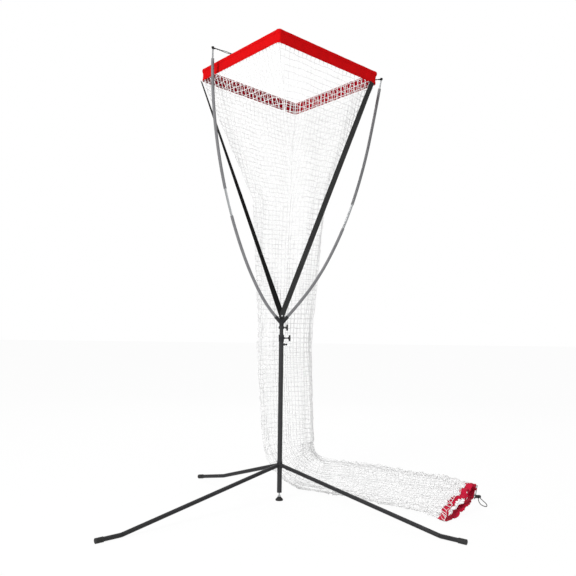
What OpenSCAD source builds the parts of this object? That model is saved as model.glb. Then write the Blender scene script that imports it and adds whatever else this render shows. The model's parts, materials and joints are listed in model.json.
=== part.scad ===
// Free-standing target net. A square hoop is carried by two bowed arms on a telescoping mast.
// A net funnel hangs from the hoop, and its sleeve runs down behind the mast and out over the floor.
// Millimetres, +Z up. The origin is on the floor under the mast, and the front faces -Y.

/* [Lower pole] */
// Outer diameter of the fixed lower pole
pole_d = 31.8; // [30:0.1:36]
// Wall of the lower pole
pole_wall = 1.8; // [1.2:0.1:2.2]
// Height of the pole's lower end above the floor
pole_bottom_z = 54; // [50:1:90]
// Height of the pole's upper end
pole_top_z = 1090; // [900:5:1300]
// Depth of the plug in the pole's lower end
plug_len = 30; // [15:1:50]
// Thickness of the plug's rim under the pole
plug_rim = 2; // [1:0.5:4]

/* [Foot] */
// Diameter of the foot pad
pad_d = 50; // [40:1:80]
// Height of the pad's straight rim
pad_rim_h = 8; // [4:1:12]
// Height of the pad's dome
pad_h = 26; // [20:1:34]
// Diameter of the dome's flat top
pad_top_d = 17; // [14:1:24]
// Diameter of the foot's threaded stud
stud_d = 10; // [8:1:12]
// Length of the stud
stud_len = 100; // [80:1:140]
// Height of the nut on the pad
foot_nut_h = 7; // [5:1:10]
// Width across flats of the foot nut
foot_nut_w = 17; // [15:1:22]

/* [Legs] */
// Outer diameter of a leg tube
leg_d = 25.4; // [20:0.1:26]
// Wall of a leg tube
leg_wall = 1.5; // [1:0.1:2.5]
// Height at which the legs meet the pole
hub_z = 235; // [200:1:300]
// Direction of the front left leg, counted anticlockwise from +X
front_left_dir = 225; // [216:1:228]
// Direction of the front right leg
front_right_dir = 318.4; // [316:0.1:328]
// Direction of the back leg
back_dir = 134.5; // [126:0.5:136]
// Distance from the mast to a front leg's end
front_reach = 1350; // [1100:5:1600]
// Length of a front leg's level foot section
front_foot_len = 152; // [120:1:300]
// Distance from the mast to the back leg's end
back_reach = 868; // [780:1:1100]
// Distance from the mast to the back leg's bend
back_bend_reach = 585; // [480:5:640]
// Height of the back leg's bend
back_bend_z = 66; // [50:1:90]
// Radius of the bend in a leg
leg_bend_r = 90; // [60:5:150]
// Outer diameter of a leg's end cap
cap_d = 30; // [29:0.5:36]
// Length of an end cap
cap_len = 46; // [35:1:70]
// Thickness of an end cap's closed end
cap_end = 5; // [3:0.5:10]
// Outer diameter of the hub ring
hub_d = 36.8; // [36.8:0.1:42]
// Height of the hub ring
hub_h = 44; // [38:1:60]
// Length of a hub spigot inside its leg
spigot_len = 90; // [60:1:150]
// Wall of a hub spigot
spigot_wall = 2; // [1.5:0.1:4]
// Thread diameter of a leg bolt
leg_bolt_d = 6; // [4:0.5:8]
// Distance of a leg bolt from the mast
leg_bolt_reach = 64; // [50:1:80]

/* [Mast] */
// Outer diameter of the sliding mast tube
mast_d = 25.4; // [22:0.1:26]
// Wall of the mast tube
mast_wall = 1.5; // [1:0.1:2.5]
// Height of the mast tube's lower end with the mast down
mast_bottom_z = 380; // [350:5:500]
// Height of the guide on the mast's lower end
guide_h = 14; // [8:1:30]
// Length of the guide's plug inside the mast
guide_plug_len = 20; // [10:1:40]
// Length of the slide bush in the pole's upper end
bush_len = 90; // [80:1:140]
// Spacing of the mast's height holes
hole_pitch = 100; // [50:5:150]
// Number of height holes
hole_count = 5; // [3:1:5]

/* [Clamps] */
// Outer diameter of both clamp rings
collar_d = 37.6; // [36:0.1:42]
// Outer diameter of the lower clamp's sleeve
sleeve_d = 36; // [34.5:0.1:36]
// Height of a clamp ring
collar_h = 17; // [12:1:24]
// Height of the lower clamp's sleeve under its ring
sleeve_h = 31; // [31:1:50]
// Height of a clamp ring's lip above the pole's end
collar_lip = 9; // [5:1:11]
// Thread diameter of the clamp knobs' screws
knob_screw_d = 8; // [6:1:10]
// Height of the lower knob's screw below the pole's upper end
lower_knob_drop = 14; // [13:1:16]
// Width of a knob across its wings
knob_w = 41; // [30:1:60]
// Thickness of a knob's wings
knob_t = 11; // [8:1:14]
// Length of a knob's head
knob_len = 18; // [12:1:24]
// Distance from the mast's axis to the lower knob's head
lower_knob_x = 44; // [28:1:50]
// Distance from the mast's axis to the upper knob's head
upper_knob_x = 27; // [22:1:40]
// Height of the pull pin below the pole's upper end
pin_drop = 57; // [54:1:64]
// Diameter of the pull pin
pin_d = 6; // [5:0.5:7]
// Diameter of the pull pin's ball
ball_d = 13.5; // [11:0.5:18]
// Outer diameter of the pull pin's housing
housing_d = 15; // [14:0.5:20]
// Distance from the mast's axis to the housing's outer end
housing_x = 27; // [26:0.5:32]
// Travel of the pull pin
pin_travel = 4; // [2:0.5:4]

/* [Head bracket] */
// Outer diameter of the bracket's stem
stem_d = 30; // [29.6:0.1:33]
// Diameter of the ball that the sockets grow from
fork_ball_d = 32; // [31:0.5:40]
// Height of the upper clamp ring's lower face
head_z = 1138; // [1120:1:1180]
// Height of the stem
stem_h = 34; // [30:1:50]
// Turn of the two arms about the mast, anticlockwise from +X
arm_yaw = 17; // [0:1:25]
// Rise of the sockets from level
socket_angle = 48; // [46:1:52]
// Outer diameter of a socket
socket_d = 25; // [24.5:0.1:30]
// Length of a socket from the fork's centre
socket_len = 62; // [55:1:80]
// Depth of a socket's bore
socket_depth = 46; // [35:1:50]
// Width of the strap tab between the sockets
tab_w = 24; // [18:1:30]
// Thickness of the strap tab
tab_t = 4; // [3:0.5:6]
// Height of the strap bolt above the fork's centre
strap_bolt_rise = 52; // [48:1:60]
// Thread diameter of the strap bolt
strap_bolt_d = 6; // [5:0.5:8]

/* [Arms] */
// Outer diameter of the arm tubes
arm_d = 21; // [19:0.1:21]
// Wall of the arm tubes
arm_wall = 2; // [1.5:0.1:3]
// Length of an arm's lower tube
lower_arm_len = 786; // [700:1:860]
// Bare length of the rod that joins the two tubes
joiner_gap = 185; // [100:1:260]
// Length of an arm's upper tube
upper_arm_len = 875; // [780:1:960]
// Length of the joining rod inside each tube
joiner_inset = 60; // [40:1:100]
// Bare length of an arm's tip rod
tip_len = 66; // [40:1:100]
// Diameter of an arm's tip rod
tip_d = 11; // [8:0.5:14]
// Length of the tip rod inside the upper tube
tip_inset = 45; // [30:1:80]
// Diameter of the cap on an arm's tip
tip_cap_d = 15; // [15:0.5:20]
// Length of the cap on an arm's tip
tip_cap_len = 16; // [12:1:24]

/* [Hoop] */
// Outer side of the square hoop
hoop_side = 859; // [760:1:900]
// Height of the hoop's top face at its centre
hoop_z = 2909; // [2890:1:2930]
// Offset of the hoop's centre to the right of the mast
hoop_x = 27; // [10:1:40]
// Turn of the hoop about its own axis
hoop_yaw = -5.7; // [-8:0.1:0]
// Lean that lifts the hoop's near corner
hoop_pitch = 3.3; // [0:0.1:5]
// Lean that lowers the hoop's right corner
hoop_roll = 2.7; // [0:0.1:4]
// Height of the hoop's red band
band_h = 87; // [60:1:110]
// Thickness of the band around its rods
band_t = 16; // [15:0.5:20]
// Radius of the band's outer corners
band_corner_r = 24; // [20:1:40]
// Depth of the rods' centre below the band's top
rod_drop = 14; // [12:1:30]
// Diameter of the hoop's rods
rod_d = 9.5; // [8:0.1:9.8]
// Outer diameter of the hoop's corner elbows
elbow_d = 13; // [12.6:0.1:13.4]
// Length of an elbow's leg
elbow_len = 60; // [40:1:90]
// Depth of the rod in an elbow
rod_inset = 44; // [30:1:50]
// Place of a tie along its side of the hoop, from the side corner, as a part of the side
left_tie_place = 0.4; // [0.3:0.01:0.5]
// Place of the right tie along its side of the hoop
right_tie_place = 0.3; // [0.25:0.01:0.4]
// Diameter of a tie's doubled cord
tie_d = 7; // [5:0.5:8]

/* [Straps] */
// Width of the strap webbing
strap_w = 38; // [25:1:42]
// Thickness of the strap webbing
strap_t = 2.5; // [1.5:0.1:3]
// Length of a strap below its bolt
strap_end = 16; // [12:1:20]
// Distance above its bolt at which a strap leaves the tab's plane
strap_knee = 26; // [22:1:40]
// Distance of the right strap's top from its hoop corner
strap_inset = 58; // [40:1:80]

/* [Net] */
// Thickness of the net's envelope
net_t = 1.4; // [1:0.1:3]
// Height of the throat, where the funnel becomes a sleeve
throat_z = 2030; // [1900:5:2150]
// Width of the throat
throat_w = 536; // [480:1:560]
// Depth of the throat
throat_depth = 500; // [440:1:510]
// Distance of the throat's centre behind the mast
throat_back = 100; // [90:1:140]
// Height at which the sleeve is round
sleeve_z = 1690; // [1600:5:1800]
// Width of the round sleeve at its top
sleeve_top_w = 490; // [440:1:500]
// Width of the sleeve behind the fork
sleeve_w = 408; // [380:1:415]
// Distance of the sleeve's centre behind the mast at the fork
sleeve_back = 292; // [285:1:320]
// Height of the seam between the moving net and the standing net
seam_z = 1000; // [900:5:1010]
// Gap between neighbouring soft pieces
soft_gap = 0.3; // [0.3:0.1:1]

/* [Net on the floor] */
// Height at which the sleeve starts to bend onto the floor
landing_z = 330; // [320:5:380]
// Radius of the sleeve's bend onto the floor
landing_r = 225; // [215:1:240]
// Height of the net where it lies on the floor
floor_net_h = 208; // [180:1:215]
// Width of the net where it lies on the floor
floor_net_w = 510; // [440:1:540]
// Length of the red band around the net's end
end_band_len = 46; // [30:1:60]
// Thickness of the red band around the net's end
end_band_t = 4; // [2:0.5:8]

/* [Drawstring] */
// Diameter of the drawstring
string_d = 5; // [4:0.5:6]
// Diameter of the cord lock's barrel
lock_d = 22; // [22:0.5:26]
// Length of the cord lock's barrel
lock_len = 29; // [28:0.5:32]
// Wall of the cord lock's barrel
lock_wall = 2.5; // [2:0.1:3]
// Length of the button outside the barrel
button_out = 7; // [6:0.5:12]
// Travel of the button
button_travel = 3; // [2:0.5:4]

/* [Clearances] */
// Radial clearance between sliding parts
slide_gap = 0.1; // [0.05:0.01:0.2]
// Radial clearance around plugged parts
plug_gap = 0.3; // [0.2:0.05:0.5]
// Clearance between a screw's tip and what it presses on
tip_gap = 0.3; // [0.2:0.05:0.5]
// Radial clearance of a screw in its hole
hole_gap = 0.2; // [0.1:0.05:0.4]

/* [Hidden] */
$fn = 64;
eps = 0.01;

// Colours
steel_black = [0.13, 0.13, 0.14];
rubber_black = [0.05, 0.05, 0.05];
bright_steel = [0.75, 0.76, 0.78];
carbon_grey = [0.36, 0.37, 0.39];
band_red = [0.82, 0.02, 0.03];
net_white = [0.93, 0.93, 0.93];

// Derived sizes
pole_bore = pole_d - 2 * pole_wall;
leg_bore = leg_d - 2 * leg_wall;
lower_knob_z = pole_top_z - lower_knob_drop;
pin_z = pole_top_z - pin_drop;
collar_top_z = pole_top_z + collar_lip;
upper_knob_z = head_z + collar_h / 2;
fork_z = head_z + stem_h + 2;
mast_top_z = fork_z - 8;

// ---- Sweeps and lofts ----

function unit(v) = v / norm(v);
function mix(a, b, t) = a * (1 - t) + b * t;

// Direction of a path at point i
function heading(path, i) =
    unit(path[min(i + 1, len(path) - 1)] - path[max(i - 1, 0)]);

// Ring of n points around c, in the plane of unit vectors u and v
function circle_ring(c, u, v, r, n) =
    [for (k = [0:n - 1]) c + r * (cos(360 * k / n) * u + sin(360 * k / n) * v)];

// Rings of a tube along a path; side is a vector that the path never follows
function tube_rings(path, r, n, side) = [
    for (i = [0:len(path) - 1])
        let (
            along = heading(path, i),
            u = unit(cross(along, side)),
            v = cross(along, u)
        )
        circle_ring(path[i], u, v, r, n)
];

// Triangles between m rings of n points that start at point base
function wall_faces(m, n, base = 0, inward = false) = [
    for (i = [0:m - 2], k = [0:n - 1], half = [0, 1])
        let (
            a = base + i * n + k,
            b = base + i * n + (k + 1) % n,
            c = a + n,
            d = b + n,
            f = half == 0 ? [a, b, d] : [a, d, c]
        )
        inward ? [f[2], f[1], f[0]] : f
];

// Triangles that close a ring as a fan
function fan_faces(first, n, flip = false) = [
    for (k = [1:n - 2])
        flip ? [first, first + k + 1, first + k] : [first, first + k, first + k + 1]
];

// Triangles of the flat rim between an outer and an inner ring
function rim_faces(outer, inner, n, flip = false) = [
    for (k = [0:n - 1], half = [0, 1])
        let (
            a = outer + k,
            b = outer + (k + 1) % n,
            c = inner + k,
            d = inner + (k + 1) % n,
            f = half == 0 ? [a, d, b] : [a, c, d]
        )
        flip ? [f[2], f[1], f[0]] : f
];

// Closed solid through a list of rings
module solid_loft(rings) {
    m = len(rings);
    n = len(rings[0]);
    polyhedron(
        points = [for (ring = rings, p = ring) p],
        faces = concat(
            wall_faces(m, n),
            fan_faces(0, n, true),
            fan_faces((m - 1) * n, n)
        )
    );
}

// Open-ended shell between outer and inner rings
module shell_loft(outer, inner) {
    m = len(outer);
    n = len(outer[0]);
    polyhedron(
        points = [for (ring = concat(outer, inner), p = ring) p],
        faces = concat(
            wall_faces(m, n),
            wall_faces(m, n, m * n, true),
            rim_faces(0, m * n, n),
            rim_faces((m - 1) * n, (2 * m - 1) * n, n, true)
        )
    );
}

// ---- Lower pole and foot ----

// Cylinder along +X from x0 to x1
module x_rod(r, x0, x1) {
    translate([x0, 0, 0])
        rotate([0, 90, 0])
            cylinder(r = r, h = x1 - x0);
}

// Screw and pin holes on the right of whatever sits on the pole
module knob_and_pin_holes() {
    translate([0, 0, lower_knob_z])
        x_rod(knob_screw_d / 2 + hole_gap, 0, collar_d);
    translate([0, 0, pin_z])
        x_rod(pin_d / 2 + hole_gap, 0, collar_d);
}

module lower_pole() {
    color(steel_black)
        difference() {
            translate([0, 0, pole_bottom_z])
                cylinder(d = pole_d, h = pole_top_z - pole_bottom_z);
            translate([0, 0, pole_bottom_z - eps])
                cylinder(d = pole_bore, h = pole_top_z - pole_bottom_z + 2 * eps);
            knob_and_pin_holes();
        }
}

module pole_plug() {
    color(rubber_black)
        difference() {
            union() {
                translate([0, 0, pole_bottom_z - plug_rim])
                    cylinder(d = pole_d, h = plug_rim);
                translate([0, 0, pole_bottom_z - eps])
                    cylinder(d = pole_bore, h = plug_len + eps);
            }
            translate([0, 0, pole_bottom_z - plug_rim - eps])
                cylinder(d = stud_d + 2 * slide_gap, h = plug_rim + plug_len + 2 * eps);
        }
}

module foot_stud() {
    color(bright_steel)
        translate([0, 0, pad_rim_h])
            cylinder(d = stud_d, h = stud_len);
}

module foot_nut() {
    color(bright_steel)
        translate([0, 0, pad_h])
            difference() {
                cylinder(d = foot_nut_w / cos(30), h = foot_nut_h, $fn = 6);
                translate([0, 0, -eps])
                    cylinder(d = stud_d, h = foot_nut_h + 2 * eps);
            }
}

module foot_pad() {
    color(rubber_black)
        difference() {
            rotate_extrude()
                polygon([
                    [0, 0], [pad_d / 2 - 1.5, 0], [pad_d / 2, 1.5], [pad_d / 2, pad_rim_h],
                    [pad_top_d / 2 + 2, pad_h - 1.5], [pad_top_d / 2, pad_h], [0, pad_h]
                ]);
            translate([0, 0, pad_rim_h])
                cylinder(d = stud_d, h = pad_h);
        }
}

// ---- Legs ----
// A leg lies in its own plane: r runs out from the mast and z up.

front_end = [front_reach, cap_d / 2];
front_bend = [front_reach - front_foot_len, cap_d / 2];
back_bend = [back_bend_reach, back_bend_z];
back_slope = atan2(back_bend_z - cap_d / 2, back_reach - back_bend_reach);
back_end = [back_reach, cap_d / 2 * cos(back_slope) + cap_end * sin(back_slope)];
hub_point = [0, hub_z];

// Straight rod between two points of the leg's plane
module plane_rod(a, b, r) {
    span = b - a;
    translate([a[0], 0, a[1]])
        rotate([0, 90 - atan2(span[1], span[0]), 0])
            cylinder(r = r, h = norm(span));
}

// Points from a to c with a round bend of the given radius near b
function bent_path(a, b, c, radius) =
    let (
        u = unit(a - b),
        v = unit(c - b),
        turn = acos(u * v),
        reach = radius / tan(turn / 2),
        centre = b + unit(u + v) * radius / sin(turn / 2),
        from = b + u * reach - centre,
        to = b + v * reach - centre,
        start = atan2(from[1], from[0]),
        stop = atan2(to[1], to[0]),
        bend_steps = 5
    )
    concat(
        [a],
        [for (i = [0:bend_steps])
            centre + radius * [cos(mix(start, stop, i / bend_steps)), sin(mix(start, stop, i / bend_steps))]],
        [c]
    );

leg_sides = 24;
function leg_rings(bend, end, r) = tube_rings(
    [for (p = bent_path(hub_point, bend, end, leg_bend_r)) [p[0], 0, p[1]]],
    r, leg_sides, [0, 1, 0]
);

module leg_bolt_place(bend) {
    slope = atan2(hub_z - bend[1], bend[0]);
    translate([leg_bolt_reach, 0, hub_z - leg_bolt_reach * tan(slope)])
        rotate([0, slope, 0])
            children();
}

module leg(dir, bend, end) {
    color(steel_black)
        rotate([0, 0, dir])
            difference() {
                shell_loft(
                    leg_rings(bend, end, leg_d / 2),
                    leg_rings(bend, end, leg_bore / 2 / cos(180 / leg_sides))
                );
                translate([0, 0, hub_z - 2 * leg_d])
                    cylinder(d = hub_d + 2 * plug_gap, h = 4 * leg_d);
                leg_bolt_place(bend)
                    translate([0, 0, -leg_d])
                        cylinder(d = leg_bolt_d + 2 * hole_gap, h = leg_d);
            }
}

module front_left_leg() {
    leg(front_left_dir, front_bend, front_end);
}

module front_right_leg() {
    leg(front_right_dir, front_bend, front_end);
}

module back_leg() {
    leg(back_dir, back_bend, back_end);
}

module leg_cap(dir, bend, end) {
    slope = atan2(bend[1] - end[1], end[0] - bend[0]);
    color(rubber_black)
        rotate([0, 0, dir])
            translate([end[0], 0, end[1]])
                rotate([0, 90 + slope, 0])
                    difference() {
                        translate([0, 0, cap_end - cap_len])
                            cylinder(d = cap_d, h = cap_len);
                        translate([0, 0, -cap_len])
                            cylinder(d = leg_d, h = cap_len + slide_gap);
                    }
}

module front_left_cap() {
    leg_cap(front_left_dir, front_bend, front_end);
}

module front_right_cap() {
    leg_cap(front_right_dir, front_bend, front_end);
}

module back_cap() {
    leg_cap(back_dir, back_bend, back_end);
}

LEGS = [
    [front_left_dir, front_bend],
    [front_right_dir, front_bend],
    [back_dir, back_bend]
];

module hub_spigot(dir, bend, r, stop) {
    rotate([0, 0, dir])
        plane_rod(hub_point, hub_point + unit(bend - hub_point) * stop, r);
}

module leg_hub() {
    spigot_r = leg_bore / 2 - plug_gap;
    stop = hub_d / 2 + spigot_len;
    color(steel_black)
        difference() {
            union() {
                translate([0, 0, hub_z - hub_h * 0.55])
                    cylinder(d = hub_d, h = hub_h);
                for (leg = LEGS)
                    hub_spigot(leg[0], leg[1], spigot_r, stop);
            }
            difference() {
                for (leg = LEGS)
                    hub_spigot(leg[0], leg[1], spigot_r - spigot_wall, stop + 1);
                translate([0, 0, hub_z - hub_h])
                    cylinder(d = hub_d, h = 2 * hub_h);
            }
            translate([0, 0, hub_z - hub_h])
                cylinder(d = pole_d, h = 2 * hub_h);
            for (leg = LEGS)
                rotate([0, 0, leg[0]])
                    leg_bolt_place(leg[1])
                        translate([0, 0, -leg_d])
                            cylinder(d = leg_bolt_d + 2 * hole_gap, h = leg_d);
        }
}

module leg_bolts() {
    head_h = leg_bolt_d * 0.6;
    color(bright_steel)
        for (leg = LEGS)
            rotate([0, 0, leg[0]])
                leg_bolt_place(leg[1]) {
                    translate([0, 0, -leg_d / 2 - head_h])
                        cylinder(d = leg_bolt_d * 1.8, h = head_h);
                    translate([0, 0, -leg_d / 2 - eps])
                        cylinder(d = leg_bolt_d, h = leg_wall + plug_gap + spigot_wall + 2);
                }
}

// ---- Mast and clamps ----

module slide_bush() {
    color(rubber_black)
        difference() {
            translate([0, 0, pole_top_z - bush_len])
                cylinder(d = pole_bore, h = bush_len);
            translate([0, 0, pole_top_z - bush_len - eps])
                cylinder(d = mast_d + 2 * slide_gap, h = bush_len + 2 * eps);
            knob_and_pin_holes();
        }
}

module clamp_collar() {
    boss_d = knob_screw_d + 8;
    color(steel_black)
        difference() {
            union() {
                translate([0, 0, collar_top_z - collar_h])
                    cylinder(d = collar_d, h = collar_h);
                translate([0, 0, collar_top_z - collar_h - sleeve_h])
                    cylinder(d = sleeve_d, h = sleeve_h + eps);
                translate([0, 0, lower_knob_z])
                    x_rod(boss_d / 2, 0, collar_d / 2 + 4);
            }
            translate([0, 0, collar_top_z - collar_h - sleeve_h - eps])
                cylinder(d = pole_d, h = collar_h + sleeve_h - collar_lip + eps);
            cylinder(d = mast_d + 4 * slide_gap, h = collar_top_z + 1);
            translate([0, 0, lower_knob_z])
                x_rod(knob_screw_d / 2 + hole_gap, 0, collar_d);
        }
}

// Winged knob on a screw along +X; tip_x is where the screw ends at the mast
module knob(tip_x, head_x) {
    boss_d = knob_t + 5;
    x_rod(knob_screw_d / 2, tip_x, head_x + 1);
    x_rod(boss_d / 2, head_x, head_x + knob_len);
    translate([head_x + knob_len * 0.3, -knob_t / 2, -knob_w / 2 + knob_t / 2])
        cube([knob_len * 0.7, knob_t, knob_w - knob_t]);
    for (side = [-1, 1])
        translate([0, 0, side * (knob_w - knob_t) / 2])
            x_rod(knob_t / 2, head_x + knob_len * 0.3, head_x + knob_len);
}

module lower_knob() {
    color(rubber_black)
        translate([0, 0, lower_knob_z])
            knob(mast_d / 2 + tip_gap, lower_knob_x);
}

module upper_knob() {
    color(rubber_black)
        translate([0, 0, upper_knob_z])
            knob(mast_d / 2 + tip_gap, upper_knob_x);
}

// The pin's flange runs in the housing between its floor and the spring
flange_x = pole_d / 2 + 1.2;
flange_t = 1.5;
housing_end_t = 1.5;
housing_bore = housing_d - 4;

module pin_housing() {
    color(steel_black)
        translate([0, 0, pin_z])
            difference() {
                x_rod(housing_d / 2, pole_d / 2 - 3, housing_x);
                x_rod(housing_bore / 2, flange_x - 0.2, housing_x - housing_end_t);
                x_rod(pin_d / 2 + hole_gap, 0, housing_x + 1);
                translate([0, 0, -housing_d])
                    cylinder(d = pole_d, h = 2 * housing_d);
            }
}

module pull_pin() {
    color(rubber_black)
        translate([0, 0, pin_z]) {
            x_rod(pin_d / 2, mast_d / 2 + tip_gap, housing_x + 2);
            x_rod(housing_bore / 2 - hole_gap, flange_x, flange_x + flange_t);
            translate([housing_x + ball_d / 2 + 0.4, 0, 0])
                sphere(d = ball_d);
        }
}

// Coil along +X with squared turns, as one unbroken wire
module coil(x0, x1, r, wire, turns) {
    steps = turns * 12;
    path = [
        for (i = [0:steps])
            [mix(x0 + wire / 2, x1 - wire / 2, i / steps), r * cos(30 * i), r * sin(30 * i)]
    ];
    solid_loft(tube_rings(path, wire / 2, 6, [1, 0, 0]));
}

module pin_spring() {
    wire = 0.8;
    x0 = flange_x + flange_t + 0.1;
    x1 = housing_x - housing_end_t - 0.1;
    color(bright_steel)
        translate([0, 0, pin_z])
            coil(x0, x1, pin_d / 2 + hole_gap + wire, wire, 3);
}

module mast_tube() {
    first_hole_z = pin_z - hole_pitch / 2;
    color(steel_black)
        difference() {
            translate([0, 0, mast_bottom_z])
                cylinder(d = mast_d, h = mast_top_z - mast_bottom_z);
            translate([0, 0, mast_bottom_z - eps])
                cylinder(d = mast_d - 2 * mast_wall, h = mast_top_z - mast_bottom_z + 2 * eps);
            for (i = [0:hole_count - 1])
                translate([0, 0, first_hole_z - i * hole_pitch])
                    x_rod(pin_d / 2 + 2 * hole_gap, 0, mast_d);
        }
}

module mast_guide() {
    color(rubber_black) {
        translate([0, 0, mast_bottom_z - guide_h])
            cylinder(d = pole_bore - 2 * slide_gap, h = guide_h);
        translate([0, 0, mast_bottom_z - eps])
            cylinder(d = mast_d - 2 * mast_wall, h = guide_plug_len);
    }
}

// ---- Head bracket ----

// Turns its children into the arms' plane, at the fork's centre
module fork_frame() {
    translate([0, 0, fork_z])
        rotate([0, 0, arm_yaw])
            children();
}

module socket_rod(side, r, from, to) {
    rotate([0, side * (90 - socket_angle), 0])
        translate([0, 0, from])
            cylinder(r = r, h = to - from);
}

module head_bracket() {
    tab_top = strap_bolt_rise + strap_bolt_d * 1.6;
    color(steel_black)
        difference() {
            union() {
                translate([0, 0, head_z])
                    cylinder(d = stem_d, h = stem_h);
                fork_frame() {
                    sphere(d = max(fork_ball_d, stem_d + 1));
                    for (side = [-1, 1])
                        socket_rod(side, socket_d / 2, 0, socket_len);
                    translate([-tab_w / 2, -tab_t / 2, 0])
                        cube([tab_w, tab_t, tab_top]);
                }
            }
            translate([0, 0, head_z - eps])
                cylinder(d = mast_d + 2 * slide_gap, h = mast_top_z - head_z + 1);
            fork_frame() {
                for (side = [-1, 1])
                    socket_rod(side, arm_d / 2 + plug_gap, socket_len - socket_depth, socket_len + 1);
                translate([0, tab_t, strap_bolt_rise])
                    rotate([90, 0, 0])
                        cylinder(d = strap_bolt_d + 2 * hole_gap, h = 2 * tab_t);
            }
            translate([0, 0, upper_knob_z])
                x_rod(knob_screw_d / 2 + hole_gap, 0, stem_d);
        }
}

module head_collar() {
    color(steel_black)
        difference() {
            translate([0, 0, head_z])
                cylinder(d = collar_d, h = collar_h);
            translate([0, 0, head_z - eps])
                cylinder(d = stem_d, h = collar_h + 2 * eps);
            translate([0, 0, upper_knob_z])
                x_rod(knob_screw_d / 2 + hole_gap, 0, collar_d);
        }
}

// ---- Arms ----
// An arm's bend: distance along it from the socket's floor, and its rise from level there.
// The left arm is pulled in further by its tie than the right one.
left_bend = [
    [0, socket_angle], [socket_depth + 4, socket_angle], [230, 61], [510, 69],
    [980, 77], [1445, 84], [1914, 91]
];
right_bend = [
    [0, socket_angle], [socket_depth + 4, socket_angle], [230, 51], [510, 61],
    [980, 71], [1445, 78], [1914, 80]
];
arm_step = 6;
arm_len = lower_arm_len + joiner_gap + upper_arm_len + tip_len;
arm_steps = ceil((arm_len + tip_cap_len) / arm_step) + 1;

// Points of the arm's centre line in its own plane, every arm_step along it
function bend_points(bend) = [
    for (
        i = 0, p = (socket_len - socket_depth) * [cos(socket_angle), sin(socket_angle)];
        i <= arm_steps;
        p = p + arm_step * [
            cos(lookup((i + 0.5) * arm_step, bend)),
            sin(lookup((i + 0.5) * arm_step, bend))
        ],
        i = i + 1
    ) p
];
left_points = bend_points(left_bend);
right_points = bend_points(right_bend);

// Point of the arm at distance s, in the part's frame
function arm_point(side, s) =
    let (
        pts = side < 0 ? left_points : right_points,
        i = floor(s / arm_step),
        p = mix(pts[i], pts[i + 1], s / arm_step - i),
        r = side * p[0]
    )
    [r * cos(arm_yaw), r * sin(arm_yaw), fork_z + p[1]];

// Path along the arm between two distances
function arm_path(side, from, to, pitch = 48) =
    let (count = max(2, ceil((to - from) / pitch)))
    [for (i = [0:count]) arm_point(side, mix(from, to, i / count))];

arm_side = [-sin(arm_yaw), cos(arm_yaw), 0];
function arm_rings(side, from, to, r) =
    tube_rings(arm_path(side, from, to), r, 12, arm_side);

upper_arm_start = lower_arm_len + joiner_gap;
tip_start = upper_arm_start + upper_arm_len;
arm_bore_r = arm_d / 2 - arm_wall;

module arm_tube(side, from, to) {
    color(carbon_grey)
        shell_loft(arm_rings(side, from, to, arm_d / 2), arm_rings(side, from, to, arm_bore_r));
}

module joiner(side) {
    from = lower_arm_len - joiner_inset;
    to = upper_arm_start + joiner_inset;
    color(bright_steel)
        solid_loft(arm_rings(side, from, to, arm_bore_r - plug_gap));
}

// Thin rod whose thick end plugs the upper tube
module tip_rod(side) {
    color(bright_steel)
        solid_loft(concat(
            arm_rings(side, tip_start - tip_inset, tip_start - 2, arm_bore_r - plug_gap),
            arm_rings(side, tip_start - 2, arm_len, tip_d / 2)
        ));
}

module tip_cap(side) {
    color(rubber_black)
        solid_loft(arm_rings(side, arm_len, arm_len + tip_cap_len, tip_cap_d / 2));
}

module left_lower_arm() {
    arm_tube(-1, 0.5, lower_arm_len);
}

module left_joiner() {
    joiner(-1);
}

module left_upper_arm() {
    arm_tube(-1, upper_arm_start, tip_start);
}

module left_tip() {
    tip_rod(-1);
}

module left_tip_cap() {
    tip_cap(-1);
}

module right_lower_arm() {
    arm_tube(1, 0.5, lower_arm_len);
}

module right_joiner() {
    joiner(1);
}

module right_upper_arm() {
    arm_tube(1, upper_arm_start, tip_start);
}

module right_tip() {
    tip_rod(1);
}

module right_tip_cap() {
    tip_cap(1);
}

// ---- Hoop ----
// In the hoop's own frame its centre is at the top face, and its corners lie on the axes:
// left on -X, right on +X, near on -Y and far on +Y.
hoop_slope_x = -tan(hoop_roll);
hoop_slope_y = -tan(hoop_pitch);
hoop_half_diag = hoop_side / sqrt(2);
rod_inset_y = band_t / 2;
rod_half = hoop_side / 2 - rod_inset_y;

// A point given in the hoop's frame, in the part's frame
function hoop_point(p) =
    let (
        x = p[0] * cos(hoop_yaw) - p[1] * sin(hoop_yaw),
        y = p[0] * sin(hoop_yaw) + p[1] * cos(hoop_yaw),
        y2 = y * cos(hoop_pitch) + p[2] * sin(hoop_pitch),
        z2 = -y * sin(hoop_pitch) + p[2] * cos(hoop_pitch)
    )
    [
        hoop_x + x * cos(hoop_roll) + z2 * sin(hoop_roll),
        y2,
        hoop_z - x * sin(hoop_roll) + z2 * cos(hoop_roll)
    ];

module hoop_frame() {
    translate([hoop_x, 0, hoop_z])
        rotate([-hoop_pitch, hoop_roll, 0])
            rotate([0, 0, hoop_yaw])
                children();
}

module rounded_square(side, r) {
    square([side - 2 * r, side], center = true);
    square([side, side - 2 * r], center = true);
    for (x = [-1, 1], y = [-1, 1])
        translate([x, y] * (side / 2 - r))
            circle(r = r);
}

// Round passage for the rods around the hoop
module rod_passage(r) {
    for (turn = [0:90:270])
        rotate([0, 0, turn]) {
            translate([-rod_half, -rod_half, 0])
                rotate([0, 90, 0])
                    cylinder(r = r, h = 2 * rod_half);
            translate([-rod_half, -rod_half, 0])
                sphere(r = r);
        }
}

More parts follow.
